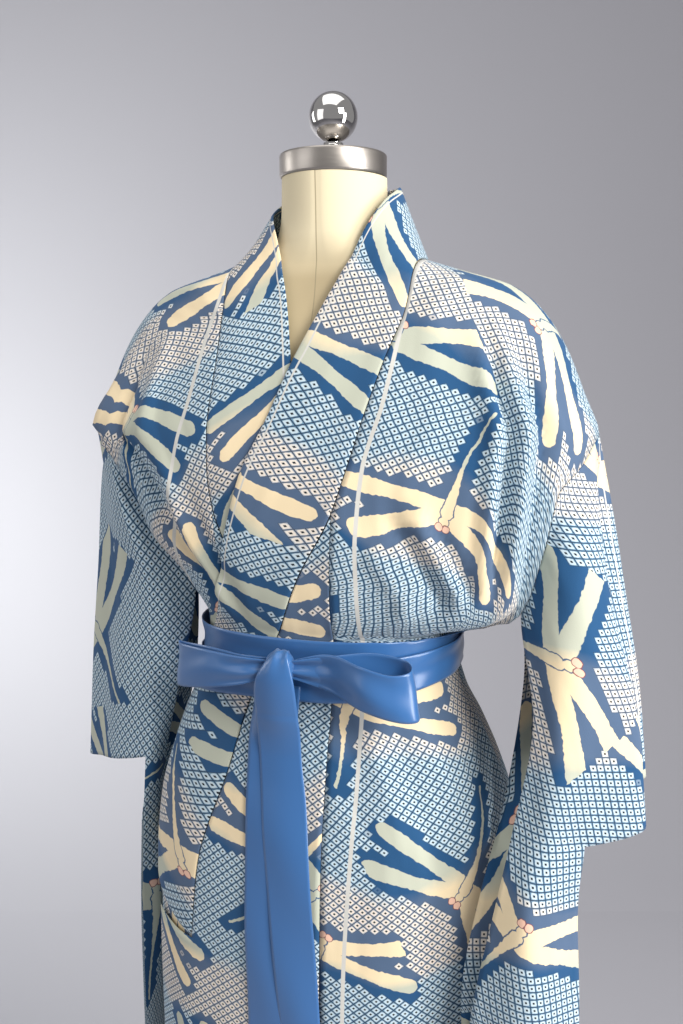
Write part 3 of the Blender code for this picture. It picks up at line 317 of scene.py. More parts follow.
def gridPiece(name, points, uvs, wall, material, extraFaces=(), closed=False, rounded=False):
    # a sheet from a table of points, row by row. None leaves a point out
    rows = len(points) - 1
    columns = len(points[0]) - 1
    bm = bmesh.new()
    bmesh.ops.create_grid(bm, x_segments=columns, y_segments=rows, size=0.5)
    spots = {}
    spare = []
    for vertex in bm.verts:
        key = (round((vertex.co.y + 0.5) * rows), round((vertex.co.x + 0.5) * columns))
        if points[key[0]][key[1]] is None:
            spare.append(vertex)
        else:
            spots[key] = vertex
            vertex.co = points[key[0]][key[1]]
    keyOf = {vertex: key for key, vertex in spots.items()}
    bmesh.ops.delete(bm, geom=spare, context="VERTS")
    for keys in extraFaces:
        bm.faces.new([spots[key] for key in keys])
    layer = bm.loops.layers.uv.new("cloth")
    for face in bm.faces:
        for loop in face.loops:
            row, column = keyOf[loop.vert]
            loop[layer].uv = uvs[row][column]
    if closed:
        bmesh.ops.remove_doubles(bm, verts=bm.verts, dist=0.00001)
    return finishPiece(name, bm, wall, material, rounded)


def addObject(name, bm, material):
    mesh = bpy.data.meshes.new(name)
    bm.to_mesh(mesh)
    bm.free()
    mesh.shade_smooth()
    mesh.materials.append(material)
    piece = bpy.data.objects.new(name, mesh)
    bpy.context.scene.collection.objects.link(piece)
    return piece


def finishPiece(name, bm, wall, material, rounded=False):
    bmesh.ops.recalc_face_normals(bm, faces=bm.faces)
    piece = addObject(name, bm, material)
    if wall:
        shell = piece.modifiers.new("wall", "SOLIDIFY")
        shell.thickness = wall
        shell.offset = 0.0
        shell.use_even_offset = False
    if rounded:
        soft = piece.modifiers.new("soft", "SUBSURF")
        soft.levels = 1
        soft.render_levels = 1
    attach(piece, "root")
    return piece


def lengthsAlong(points):
    total = [0.0]
    for a, b in zip(points, points[1:]):
        total.append(total[-1] + (b - a).length)
    return total


def curveThrough(points, position):
    count = len(points)
    i = min(int(position), count - 2)
    t = position - i
    p1 = points[i]
    p2 = points[i + 1]
    p0 = points[i - 1] if i > 0 else p1 * 2 - p2
    p3 = points[i + 2] if i + 2 < count else p2 * 2 - p1
    return 0.5 * (2 * p1 + (p2 - p0) * t + (2 * p0 - 5 * p1 + 4 * p2 - p3) * t ** 2
                  + (3 * p1 - p0 - 3 * p2 + p3) * t ** 3)


class Wire:
    # a shader socket that takes part in sums
    def __init__(self, tree, socket):
        self.tree = tree
        self.socket = socket

    def maths(self, operation, *others, clamp=False, swapped=False):
        node = self.tree.nodes.new("ShaderNodeMath")
        node.operation = operation
        node.use_clamp = clamp
        values = [self, *others]
        for slot, value in zip(node.inputs, values[::-1] if swapped else values):
            if isinstance(value, Wire):
                self.tree.links.new(value.socket, slot)
            else:
                slot.default_value = value
        return Wire(self.tree, node.outputs[0])

    def __add__(self, other):
        return self.maths("ADD", other)

    def __sub__(self, other):
        return self.maths("SUBTRACT", other)

    def __rsub__(self, other):
        return self.maths("SUBTRACT", other, swapped=True)

    def __mul__(self, other):
        return self.maths("MULTIPLY", other)

    def __truediv__(self, other):
        return self.maths("DIVIDE", other)

    def __rtruediv__(self, other):
        return self.maths("DIVIDE", other, swapped=True)

    def __abs__(self):
        return self.maths("ABSOLUTE")

    __radd__ = __add__
    __rmul__ = __mul__

    def least(self, other):
        return self.maths("MINIMUM", other)

    def most(self, other):
        return self.maths("MAXIMUM", other)

    def root(self):
        return self.maths("SQRT")

    def below(self, edge, soft):
        # 1 under the edge, 0 above it, with a soft step between
        return ((edge - self) / soft + 0.5).maths("ADD", 0.0, clamp=True)


class Paint:
    # one material and its nodes
    def __init__(self, name):
        self.material = bpy.data.materials.new(name)
        self.material.use_nodes = True
        self.tree = self.material.node_tree
        self.shader = self.tree.nodes["Principled BSDF"]

    def node(self, kind, settings=None, sockets=None, output=0):
        node = self.tree.nodes.new(kind)
        for key, value in (settings or {}).items():
            setattr(node, key, value)
        for key, value in (sockets or {}).items():
            self.join(value, node.inputs[key])
        return Wire(self.tree, node.outputs[output])

    def join(self, value, socket):
        if isinstance(value, Wire):
            self.tree.links.new(value.socket, socket)
        else:
            socket.default_value = value

    def vectors(self, operation, *values, output=0):
        return self.node("ShaderNodeVectorMath", {"operation": operation}, dict(enumerate(values)), output)

    def part(self, vector, index):
        return self.node("ShaderNodeSeparateXYZ", {}, {0: vector}, index)

    def speckle(self, place, scale, detail=2.0, flat=True, output=0):
        settings = {"noise_dimensions": "2D"} if flat else {}
        sockets = {"Vector": place, "Scale": scale, "Detail": detail}
        return self.node("ShaderNodeTexNoise", settings, sockets, output)

    def bump(self, height, strength, distance, **under):
        sockets = {"Height": height, "Strength": strength, "Distance": distance, **under}
        return self.node("ShaderNodeBump", {}, sockets)

    def mixed(self, share, a, b):
        # colours
        return self.node("ShaderNodeMix", {"data_type": "RGBA"}, {0: share, 6: a, 7: b}, output=2)

    def chosen(self, share, a, b):
        # vectors
        return self.node("ShaderNodeMix", {"data_type": "VECTOR"}, {0: share, 4: a, 5: b}, output=1)

    def set(self, **values):
        for key, value in values.items():
            self.join(value, self.shader.inputs[key.replace("_", " ")])


def rgb(code):
    # a screen colour as linear light
    parts = [int(code[i:i + 2], 16) / 255 for i in (0, 2, 4)]
    return tuple(p / 12.92 if p <= 0.04045 else ((p + 0.055) / 1.055) ** 2.4 for p in parts) + (1.0,)


printed = {
    "acrossPitch": 0.0113, "alongPitch": 0.0092,
    "coolLine": rgb("1c3047"), "warmLine": rgb("38414f"), "dot": rgb("0f1720"),
    "coolGap": rgb("668aa5"), "warmGap": rgb("98a3b2"),
    "coolSquare": rgb("c4d5dd"), "warmSquare": rgb("e9dfd2"),
    "coolGround": rgb("22507a"), "warmGround": rgb("516682"),
    "coolWing": rgb("bfc2b0"), "warmWing": rgb("f1dcb5"),
    "eye": rgb("efc3ab"), "eyeEdge": rgb("7d4a4f"), "thread": rgb("cfcdc6"),
    # wings: where they start, how they lean from the body's line, how long and how wide
    "wings": [((0.017, 0.005), 98.0, 0.092, 0.0074), ((0.008, 0.005), 119.0, 0.089, 0.0076)],
    # how a wing swells along its length: wave length, wave, widening
    "swell": (0.06, 0.0007, 0.012),
    # tail: where it begins and ends, its half width there
    "tail": (0.013, 0.112, 0.0056, 0.0014), "neckX": 0.01,
    # how the tail waves and how its girth falls off
    "tailWave": (42.0, 0.0016), "taper": (1.7, 1.5),
    # head and eyes: middle, radius
    "head": (0.0045, 0.0042), "eyes": (0.0018, 0.0036, 0.0034),
    # the clear ground round a dragonfly, and how far the edges of a motif waver
    "clear": 0.0092, "waver": 0.0026,
    # how far the dark outline stands off the body and the eyes, and how soft a motif's edges are
    "outline": 0.0011, "eyeOutline": 0.0007, "soft": 0.0005, "eyeSoft": 0.0004,
    # a lattice cell from its middle outwards, edge and softness: the dot, the square, the line
    "dotEdge": (0.132, 0.05), "squareEdge": (0.41, 0.07), "lineEdge": (0.443, 0.04),
    # how uneven the squares are, and how round
    "uneven": 0.12, "round": 0.3, "straight": 0.8,
    # warm bands across the cloth: how far apart, half as high, how far they drift, how soft
    "bandStep": 0.207, "bandHalf": 0.036, "bandDrift": 0.085, "bandSoft": 0.016,
    # the scale of the noise behind the waver, the uneven squares, the bands and the weave
    "waverScale": 170.0, "unevenScale": 420.0, "driftScale": 9.0, "weaveScale": 800.0,
    # the soft drape is drawn out along the cloth, and how strong it and the weave are
    "drape": (24.0, 5.0, 1.0), "drapeStrength": 0.6, "weaveStrength": 0.22,
    "sheen": 0.12, "specular": 0.25, "roughness": 0.86,
}


def capsule(x, y, start, lean, length, width):
    # distance to a rounded strip that starts at a point and leans by an angle
    cosine = math.cos(math.radians(lean))
    sine = math.sin(math.radians(lean))
    dx = x - start[0]
    dy = y - start[1]
    along = dx * cosine + dy * sine
    across = dy * cosine - dx * sine
    held = along.most(0.0).least(length)
    past = along - held
    wave, high, wider = printed["swell"]
    swell = (held * (2 * math.pi / wave)).maths("SINE") * high + held * wider
    return (past * past + across * across).root() - (swell + (width - 0.001))


def dragonfly(x, y, bend):
    # distances to the wings, the body and the eyes, the head at the origin and the body along +x
    mirrored = abs(y)
    first, second = [capsule(x, mirrored, *wing) for wing in printed["wings"]]
    begin, end, wide, thin = printed["tail"]
    cosine = bend.maths("COSINE")
    sine = bend.maths("SINE")
    fromNeck = x - printed["neckX"]
    tailX = fromNeck * cosine + y * sine + printed["neckX"]
    tailY = y * cosine - fromNeck * sine
    often, far = printed["tailWave"]
    tailY = tailY + (tailX * often).maths("SINE") * far
    held = tailX.most(begin).least(end)
    share = (held - begin) / (end - begin)
    taper, exponent = printed["taper"]
    girth = thin + (wide - thin) * (1.0 - share * taper).most(0.0).maths("POWER", exponent)
    past = tailX - held
    tail = (past * past + tailY * tailY).root() - girth
    headX = x - printed["head"][0]
    head = (headX * headX + mirrored * mirrored).root() - printed["head"][1]
    eyeX = x + printed["eyes"][0]
    eyeY = mirrored - printed["eyes"][1]
    eyes = (eyeX * eyeX + eyeY * eyeY).root() - printed["eyes"][2]
    return first.least(second), tail.least(head), eyes


def nearestMotif(paint, spot, motifs):
    # the place in the nearest dragonfly's own axes, and how its tail bends
    best = None
    for u, v, turn, bend, scale in motifs:
        lean = math.radians(turn)
        centre = (u + 0.02 * math.cos(lean), v + 0.02 * math.sin(lean), 0.0)
        away = paint.vectors("DISTANCE", spot, centre, output=1)
        if best is None:
            best = away
            chosen = (u, v, 0.0)
            angles = (lean, math.radians(bend), 1.0 / scale)
        else:
            nearer = away.maths("LESS_THAN", best)
            chosen = paint.chosen(nearer, chosen, (u, v, 0.0))
            angles = paint.chosen(nearer, angles, (lean, math.radians(bend), 1.0 / scale))
            best = best.least(away)
    away = paint.vectors("SUBTRACT", spot, chosen)
    dx = paint.part(away, 0)
    dy = paint.part(away, 1)
    turn = paint.part(angles, 0)
    size = paint.part(angles, 2)
    cosine = turn.maths("COSINE") * size
    sine = turn.maths("SINE") * size
    return dx * cosine + dy * sine, dy * cosine - dx * sine, paint.part(angles, 1)


def printedCotton(name, motifs, band, lines=(), turn=0.0, selvage=0.0, warm=True):
    paint = Paint(name)
    uv = paint.node("ShaderNodeUVMap", {"uv_map": "cloth"})
    waver = printed["waver"]
    wavering = paint.speckle(uv, printed["waverScale"], 1.0, output=1)
    bent = paint.vectors("MULTIPLY_ADD", wavering, (waver, waver, 0.0), uv)
    bent = paint.vectors("SUBTRACT", bent, (waver / 2, waver / 2, 0.0))
    # the lattice of small squares
    lean = (0.0, 0.0, math.radians(turn))
    turned = paint.node("ShaderNodeMapping", {"vector_type": "POINT"}, {0: uv, 2: lean})
    u = paint.part(turned, 0) / printed["acrossPitch"]
    v = paint.part(turned, 1) / printed["alongPitch"]
    a = u + v
    b = u - v
    cellA = a.maths("FLOOR")
    cellB = b.maths("FLOOR")
    uneven = (paint.speckle(uv, printed["unevenScale"], 0.0) - 0.5) * printed["uneven"]
    insideA = abs(a - cellA - 0.5)
    insideB = abs(b - cellB - 0.5)
    corner = insideA.most(insideB)
    edge = (insideA * insideA + insideB * insideB).root() * printed["round"] + corner * printed["straight"]
    limit, soft = printed["squareEdge"]
    square = edge.below(limit + uneven, soft)
    dot = corner.below(*printed["dotEdge"])
    line = 1.0 - corner.below(*printed["lineEdge"])
    # the middle of this square, back in cloth coordinates
    midU = (cellA + cellB + 1.0) * (0.5 * printed["acrossPitch"])
    midV = (cellA - cellB) * (0.5 * printed["alongPitch"])
    snapped = paint.node("ShaderNodeCombineXYZ", {}, {0: midU, 1: midV})
    middle = paint.node("ShaderNodeMapping", {"vector_type": "TEXTURE"}, {0: snapped, 2: lean})
    wings, body, eyes = dragonfly(*nearestMotif(paint, bent, motifs))
    midWings, midBody, midEyes = dragonfly(*nearestMotif(paint, middle, motifs))
    clear = midWings.least(midBody).least(midEyes).below(printed["clear"], 0.0002)
    # warm and cool bands
    drift = paint.speckle(uv, printed["driftScale"], 1.0) - 0.5
    height = paint.part(bent, 1) + drift * printed["bandDrift"]
    step = printed["bandStep"]
    level = (height - (band - step / 2)).maths("MODULO", step)
    level = (level + step).maths("MODULO", step)
    warmth = abs(level - step / 2).below(printed["bandHalf"] if warm else -0.1, printed["bandSoft"])
    ground, gap, dark, tint, wing = [paint.mixed(warmth, printed["cool" + use], printed["warm" + use])
                                     for use in ("Ground", "Gap", "Line", "Square", "Wing")]
    net = paint.mixed(square, paint.mixed(line, gap, dark), tint)
    colour = paint.mixed(clear, paint.mixed(dot, net, printed["dot"]), ground)
    for distance, edge, over in ((wings, 0.0, wing), (body, printed["outline"], ground), (body, 0.0, wing)):
        colour = paint.mixed(distance.below(edge, printed["soft"]), colour, over)
    for edge, over in ((printed["eyeOutline"], printed["eyeEdge"]), (0.0, printed["eye"])):
        colour = paint.mixed(eyes.below(edge, printed["eyeSoft"]), colour, over)
    for lineU, width in lines:
        away = abs(paint.part(uv, 0) - lineU)
        colour = paint.mixed(away.below(width / 2, 0.0006), colour, printed["thread"])
    if selvage:
        away = paint.node("ShaderNodeAttribute", {"attribute_name": "selvage"}, output=2)
        colour = paint.mixed(abs(away).below(selvage / 2, 0.0005), colour, printed["thread"])
    # the drape, and the weave over it
    hanging = paint.vectors("MULTIPLY", uv, printed["drape"])
    drape = paint.bump(paint.speckle(hanging, 1.0, 1.5), printed["drapeStrength"], 0.008)
    weave = paint.speckle(uv, printed["weaveScale"])
    paint.set(Base_Color=colour, Roughness=printed["roughness"], Sheen_Weight=printed["sheen"],
              Specular_IOR_Level=printed["specular"],
              Normal=paint.bump(weave, printed["weaveStrength"], 0.0004, Normal=drape))
    return paint.material


panel = {
    "columns": 44, "step": 0.0075, "downStep": 0.028, "levelUnder": 1.104, "lineWidth": 0.004,
    "heights": [0.07, 0.43, 0.86, 1.0, 1.052, 1.086, 1.104, 1.124, 1.138, 1.146, 1.154, 1.168, 1.19,
                1.222, 1.263],
    "downs": [0.96, 0.9, 0.79, 0.68, 0.57, 0.46, 0.35, 0.24, 0.14, 0.06, 0.02],
    "backDowns": [0.02, 0.04, 0.09, 0.14, 0.19, 0.24, 0.3, 0.42, 0.56, 0.72, 0.88, 0.96],
    "wall": 0.0008,
    # head across and along the cloth, the body's turn, the tail's bend, the scale
    "motifs": {
        1: [(0.141, 0.277, -93, -4, 1), (0.242, 0.114, 80, -45, 1.1), (0.13, 0.041, -104, 0, 1.15),
            (0.115, 0.68, -141, 22, 1.05), (0.248, 0.711, 63, 12, 1), (0.147, 0.466, 63, -8, 1),
            (0.215, 0.96, -60, 15, 1), (0.08, 1.13, 110, -15, 1), (0.23, 1.3, 30, 10, 1),
            (0.16, -0.15, 40, -15, 1.1), (0.07, -0.42, 200, 10, 1), (0.22, -0.56, 80, 20, 1.1),
            (0.09, -0.8, -40, -10, 1), (0.23, -1, 150, 10, 1.1), (0.1, -1.27, 70, -20, 1)],
        -1: [(0.262, 0.076, -68, 0, 1.05), (0.072, 0.142, 157, -30, 1.1), (0.08, 0.4, 14, 10, 1),
             (0.2, 0.53, 60, 0, 1), (0.11, 0.72, -30, 15, 1), (0.21, 0.95, 120, -10, 1),
             (0.09, 1.2, 20, 10, 1), (0.18, -0.17, 60, 15, 1.1), (0.08, -0.4, -20, -10, 1),
             (0.23, -0.62, 120, 10, 1.1), (0.1, -0.85, 30, -15, 1), (0.22, -1.1, -110, 10, 1)],
    },
    "band": {1: 0.07, -1: 0.085},
    # the pale selvage line down each front: height, x
    "selvage": {
        1: [(1.501, 0.099), (1.366, 0.083), (1.305, 0.068), (1.221, 0.063), (1.046, 0.063),
            (0.779, 0.054), (0.07, 0.05)],
        -1: [(1.494, -0.095), (1.434, -0.108), (1.365, -0.119), (1.301, -0.133), (1.22, -0.14),
             (1.05, -0.125), (0.8, -0.12), (0.07, -0.115)],
    },
}
panelGrids = {}


def panelPlaces(side):
    columns = [i / panel["columns"] for i in range(panel["columns"] + 1)]
    heights = spaced(panel["heights"], panel["step"])
    downs = spaced(panel["downs"], panel["downStep"])
    backDowns = spaced(panel["backDowns"], panel["downStep"])
    rows = [[lowerPanelPlace(side, True, across, z) for across in columns] for z in heights]
    rows += [[upperPanelPlace(side, True, across, down) for across in columns] for down in downs]
    crest = len(rows)
    rows.append([upperPanelPlace(side, True, across, 0.0) for across in columns])
    rows += [[upperPanelPlace(side, False, across, down) for across in columns] for down in backDowns]
    rows += [[lowerPanelPlace(side, False, across, z) for across in columns] for z in reversed(heights)]
    return rows, crest, len(heights) - 1


def clothCoordinates(points, crest):
    # across from the outer edge, and along from the shoulder, down the front and up from behind.
    # Under the sash each row is level, because the fold above the sash takes up what is over
    rows = len(points)
    columns = len(points[0])
    along = [[0.0] * columns for row in range(rows)]
    for column in range(columns):
        total = lengthsAlong([line[column] for line in points])
        for row in range(rows):
            along[row][column] = total[crest] - total[row]
    for front in (True, False):
        half = range(crest) if front else range(crest, rows)
        under = [row for row in half if points[row][0].z < panel["levelUnder"]]
        first = max(under) if front else min(under)
        middle = sum(along[first]) / columns
        shifts = [middle - value for value in along[first]]
        for row in under:
            along[row] = [value + shift for value, shift in zip(along[row], shifts)]
    uvs = []
    for row, line in enumerate(points):
        total = lengthsAlong(line[::-1])[::-1]
        uvs.append(list(zip(total, along[row])))
    return uvs


for side, name, end in ((1, "body_left", "left"), (-1, "body_right", "right")):
    places, crestRow, pointRow = panelPlaces(side)
    points = [[robePoint(*place) for place in row] for row in places]
    panelGrids[side] = {"places": places, "points": points, "crest": crestRow, "point": pointRow}
    uvs = clothCoordinates(points, crestRow)
    cloth = printedCotton(name + "_print", panel["motifs"][side], panel["band"][side],
                         selvage=panel["lineWidth"])
    piece = gridPiece(name + "_cloth", points, uvs, panel["wall"], cloth)
    lineX = smoothColumn(panel["selvage"][side], 1)
    away = piece.data.attributes.new("selvage", "FLOAT", "POINT")
    away.data.foreach_set("value", [vertex.co.x - lineX(vertex.co.z) if vertex.co.y < 0 else 1.0
                                    for vertex in piece.data.vertices])
    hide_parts(name, "skirt_front_" + end, "skirt_back_" + end)
    panelGrids[side]["piece"] = piece
print("stage: body panels")

okumi = {
    "columns": 26, "stepColumns": 8,
    "motifs": {1: [(0.105, 0.081, 74, 0, 1), (0.033, 0.352, -131, 0, 1),
                   (-0.002, 0.371, 26, 0, 1), (0.233, 0.455, -101, 0, 1),
                   (0.12, 0.64, 30, 10, 1), (0.08, 0.88, -70, -10, 1.1),
                   (0.18, 1.08, 110, 15, 1)],
               -1: [(0.06, 0.25, 60, 10, 1), (0.12, 0.56, -30, 0, 1),
                    (0.07, 0.82, 120, 10, 1), (0.15, 1.06, 20, -15, 1)]},
    "band": {1: 0.09, -1: 0.15},
}


def okumiHeights():
    marks = [z for z in panel["heights"] if z < robe["pointZ"] - 0.001] + [robe["pointZ"] - 0.003]
    marks = sorted(marks + [robe["collarEndZ"] + 0.001, robe["collarEndZ"] - 0.001])
    return spaced(marks, panel["step"])


for side, name in ((1, "okumi_left"), (-1, "okumi_right")):
    heights = okumiHeights()
    points = []
    lift = robe["frontLift"] if side > 0 else 0.0
    for z in heights:
        seam = angleAt(side * (okumiSeamX[side](z) - seamGap / 2), z)
        collarLine = angleAt(side * (collarSeamX[side](z) + seamGap / 2), z)
        edge = angleAt(side * okumiEdgeX[side](z), z)
        columns = okumi["columns"]
        row = [robePoint(blend(seam, collarLine, i / columns), z, lift) for i in range(columns + 1)]
        for i in range(1, okumi["stepColumns"] + 1):
            below = z < robe["collarEndZ"]
            angle = blend(collarLine, edge, i / okumi["stepColumns"])
            row.append(robePoint(angle, z, lift) if below else None)
        points.append(row)
    uvs = []
    for row, z in zip(points, heights):
        total = lengthsAlong([point for point in row if point is not None])
        total += [total[-1]] * (len(row) - len(total))
        uvs.append([(length, heights[-1] - z) for length in total])
    cloth = printedCotton(name + "_print", okumi["motifs"][side], okumi["band"][side])
    piece = gridPiece(name + "_cloth", points, uvs, panel["wall"], cloth)
    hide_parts(name)
print("stage: okumi")

collar = {
    "columns": 12, "wall": 0.0022, "neckGap": 0.0016, "width": 0.075,
    # seam height, left edge x and height, right edge x and height
    "edge": [
        (1.46, 0.035, 1.502, 0.036, 1.5), (1.416, 0.012, 1.455, 0.026, 1.46),
        (1.37, -0.01, 1.404, 0.013, 1.405), (1.315, -0.03, 1.348, 0.002, 1.35),
        (1.268, -0.051, 1.303, -0.008, 1.295), (1.22, -0.067, 1.25, -0.024, 1.243),
        (1.13, -0.092, 1.155, -0.055, 1.16), (1.07, -0.126, 1.09, -0.08, 1.092),
        (0.97, -0.169, 0.995, -0.118, 0.995), (0.88, -0.186, 0.905, -0.143, 0.908),
        (0.807, -0.185, 0.835, -0.153, 0.84),
    ],
    # turn, left edge x, y, z, right edge x, y, z
    "neck": [
        (24, 0.035, -0.0575, 1.502, 0.036, -0.0575, 1.5),
        (45, 0.046, -0.05, 1.529, 0.043, -0.051, 1.522),
        (70, 0.059, -0.032, 1.556, 0.054, -0.034, 1.543),
        (90, 0.065, -0.006, 1.57, 0.061, -0.008, 1.556),
        (115, 0.062, 0.023, 1.578, 0.061, 0.022, 1.568),
        (140, 0.047, 0.05, 1.58, 0.047, 0.05, 1.576),
        (160, 0.026, 0.064, 1.581, 0.026, 0.064, 1.58),
        (180, 0.0, 0.07, 1.581, 0.0, 0.07, 1.581),
    ],
    "motifs": [(0.011, 0.063, 69, 0, 1), (-0.063, 0.205, 104, 0, 1), (0.095, 0.375, 77, 0, 1),
               (0.11, 0.475, 82, 0, 1), (0.088, 0.625, 76, 0, 1), (0.08, 0.775, 100, 0, 1),
               (-0.02, 0.93, 40, 0, 1), (0.1, 1.12, -110, 0, 1), (0.1, 1.27, -100, 0, 1),
               (-0.03, 1.42, 70, 0, 1), (0.1, 1.6, 120, 0, 1), (-0.01, 1.76, 30, 0, 1)],
    "band": 0.085, "line": (0.069, 0.0014),
}
collarEdge = [smoothColumn(collar["edge"], i) for i in range(1, 5)]
collarNeck = [smoothColumn(collar["neck"], i) for i in range(1, 7)]


def collarSeamPlaces(side):
    places = []
    for z in okumiHeights():
        if z > robe["collarEndZ"]:
            angle = angleAt(side * collarSeamX[side](z), z)
            places.append((angle, z, frontLift(side, angle, z)))
    grid = panelGrids[side]
    backDowns = spaced(panel["backDowns"], panel["downStep"])
    neckRows = len([down for down in backDowns if down <= robe["backNeckDown"] + 0.0001])
    return places + [row[0] for row in grid["places"][grid["point"]:grid["crest"] + neckRows + 1]]


def collarRow(side, place, before, after):
    angle, z, lift = place
    turn = abs(math.degrees(angle))
    seam = robePoint(angle, z, lift)
    along = robePoint(*after) - robePoint(*before)
    outward = robePoint(angle, z, lift + 0.01) - seam
    inward = outward.cross(along).normalized() * side
    onNeck = z > collar["edge"][0][0] or turn >= 90
    gap = blend(seamGap, collar["neckGap"], smoothStep(30, 70, turn) if onNeck else 0.0)
    points = []
    for i in range(collar["columns"] + 1):
        across = i / collar["columns"]
        if onNeck:
            first = 0 if side > 0 else 3
            edge = [collarNeck[first + j](turn) for j in range(3)]
            point = seam.lerp(Vector((side * edge[0], edge[1], edge[2])), across)
        else:
            first = 0 if side > 0 else 2
            edgeZ = collarEdge[first + 1](z)
            edgeAngle = angleAt(side * collarEdge[first](z), edgeZ)
            point = robePoint(blend(angle, edgeAngle, across), blend(z, edgeZ, across), lift)
        points.append(point + inward * gap * (1 - across))
    return points


rows = []
for side in (1, -1):
    places = collarSeamPlaces(side)
    half = [collarRow(side, place, places[max(i - 1, 0)], places[min(i + 1, len(places) - 1)])
            for i, place in enumerate(places)]
    rows += half if side > 0 else list(reversed(half[:-1]))
middleLength = lengthsAlong([row[collar["columns"] // 2] for row in rows])
uvs = [[(collar["width"] * i / collar["columns"], length) for i in range(collar["columns"] + 1)]
       for length in middleLength]
cloth = printedCotton("collar_print", collar["motifs"], collar["band"], [collar["line"]])
collarPiece = gridPiece("collar_cloth", rows, uvs, collar["wall"], cloth, rounded=True)
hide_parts("collar")
print("stage: collar")

sleeve = {
    "lines": ["opening", "lobe", "corner", "ridge", "slit", "fold",
              "back_ridge", "back_corner", "back_middle", "back_opening"],
    "acrossSteps": 9, "downSteps": 22, "cuffLevel": 4, "joinedLevel": 5, "seam": 0.0006, "bottom": 0.004,
    "wall": 0.0008, "topZ": 1.33,
    # for each side, heights of the seam under the arm, then the lines down the bag, in millimetres:
    # outwards from the body's middle, backwards and up
    1: {
        "heights": (1.276, 1.22, 1.168),
        "lobe": [(246, -86, 1222), (246, -96, 1160), (252, -108, 1068), (244, -120, 964),
                 (234, -139, 894), (237, -146, 785), (234, -136, 620)],
        "corner": [(266, -80, 1226), (274, -89, 1162), (282, -96, 1070), (277, -98, 956),
                   (273, -98, 890), (279, -104, 770), (282, -110, 520)],
        "ridge": [(280, -54, 1232), (294, -58, 1166), (318, -64, 1076), (330, -68, 968)],
        "slit": [(269, -28, 1242), (280, -27, 1170), (296, -28, 1080), (306, -30, 980)],
        "fold": [(287, 7, 1246), (301, 13, 1170), (317, 19, 1082), (328, 20, 984)],
        "back_ridge": [(272, 48, 1232), (278, 62, 1164), (282, 64, 1076), (284, 40, 972)],
        "back_corner": [(252, 72, 1224), (248, 76, 1162), (248, 66, 1070), (256, 10, 954)],
        "back_middle": [(236, 79, 1220), (224, 78, 1162), (222, 54, 1070), (224, -10, 962),
                        (238, -92, 900), (236, -102, 795), (238, -106, 640)],
        "opening": [(226, -98, 1070), (212, -109, 970), (200, -124, 900), (183, -136, 805),
                    (173, -134, 715)],
        "back_opening": [(200, 34, 1070), (194, -36, 970), (182, -94, 900),
                         (168, -114, 810), (170, -118, 725)],
        "edge": (-0.0008, 0.0024),
        "motifs": [(0.145, 0.201, -10, 0, 1.25), (0.057, 0.323, 49, 0, 1), (0.02, 0.02, 60, 10, 1),
                   (0.23, 0.44, 60, -15, 1.1), (0.11, 0.62, -20, 10, 1),
                   (-0.12, 0.15, 120, 0, 1.1), (-0.16, 0.38, 30, 10, 1),
                   (-0.22, 0.6, -60, 0, 1), (0.3, 0.65, 80, 0, 1)],
        "band": 0.245, "warm": True, "lines": [(0.013, 0.0022)],
        "turn": 45.0,
    },
    -1: {
        "heights": (1.312, 1.235, 1.172),
        "lobe": [(209, -69, 1235), (178, -62, 1164), (186, -54, 1060), (198, -44, 968),
                 (203, -38, 890), (205, -34, 764), (212, -16, 600)],
        "corner": [(218, -66, 1236), (198, -63, 1162), (201, -56, 1060), (207, -54, 964),
                   (212, -54, 886), (218, -52, 756), (221, -46, 510)],
        "ridge": [(244, -46, 1246), (234, -44, 1164), (240, -46, 1060), (250, -44, 952)],
        "slit": [(266, -20, 1260), (264, -18, 1168), (274, -18, 1060), (286, -16, 940)],
        "fold": [(286, 10, 1270), (296, 10, 1170), (309, 12, 1060), (319, 12, 930)],
        "back_ridge": [(266, 44, 1255), (268, 56, 1166), (280, 56, 1060), (286, 50, 944)],
        "back_corner": [(249, 58, 1240), (236, 66, 1164), (244, 64, 1060), (248, 46, 958)],
        "back_middle": [(236, 60, 1236), (208, 58, 1164), (214, 56, 1060), (226, 46, 964),
                        (232, 6, 890), (238, 6, 764), (236, 2, 600)],
        "opening": [(169, -36, 1060), (194, -26, 970), (206, -18, 895), (209, -14, 770),
                    (216, 20, 690)],
        "back_opening": [(186, 38, 1060), (204, 36, 970), (216, 36, 895), (222, 44, 770),
                         (226, 26, 690)],
        "edge": (0.0024, 0.0004),
        "motifs": [(0, 0.228, 41, 0, 1.4), (0.156, 0.527, 93, 0, 1.3), (0.11, -0.02, 60, 10, 1),
                   (0.26, 0.3, 130, 0, 1), (0.06, 0.42, -20, 0, 1),
                   (0.25, 0.64, -30, 0, 1), (-0.1, 0.15, 30, 0, 1.1),
                   (-0.16, 0.35, 100, 10, 1), (-0.22, 0.6, 20, 0, 1)],
        "band": 0.42, "warm": False, "lines": [],
        "turn": 90.0,
    },
}


def armholeAt(side, front, z):
    grid = panelGrids[side]
    rows = grid["points"][:grid["crest"] + 1] if front else grid["points"][:grid["crest"] - 1:-1]
    i = 0
    while i < len(rows) - 2 and rows[i + 1][-1].z < z:
        i += 1
    t = min(max((z - rows[i][-1].z) / (rows[i + 1][-1].z - rows[i][-1].z), 0.0), 1.0)
    point = rows[i][-1].lerp(rows[i + 1][-1], t)
    before = rows[i][-4].lerp(rows[i + 1][-4], t)
    return point + (point - before).normalized() * sleeve["seam"]


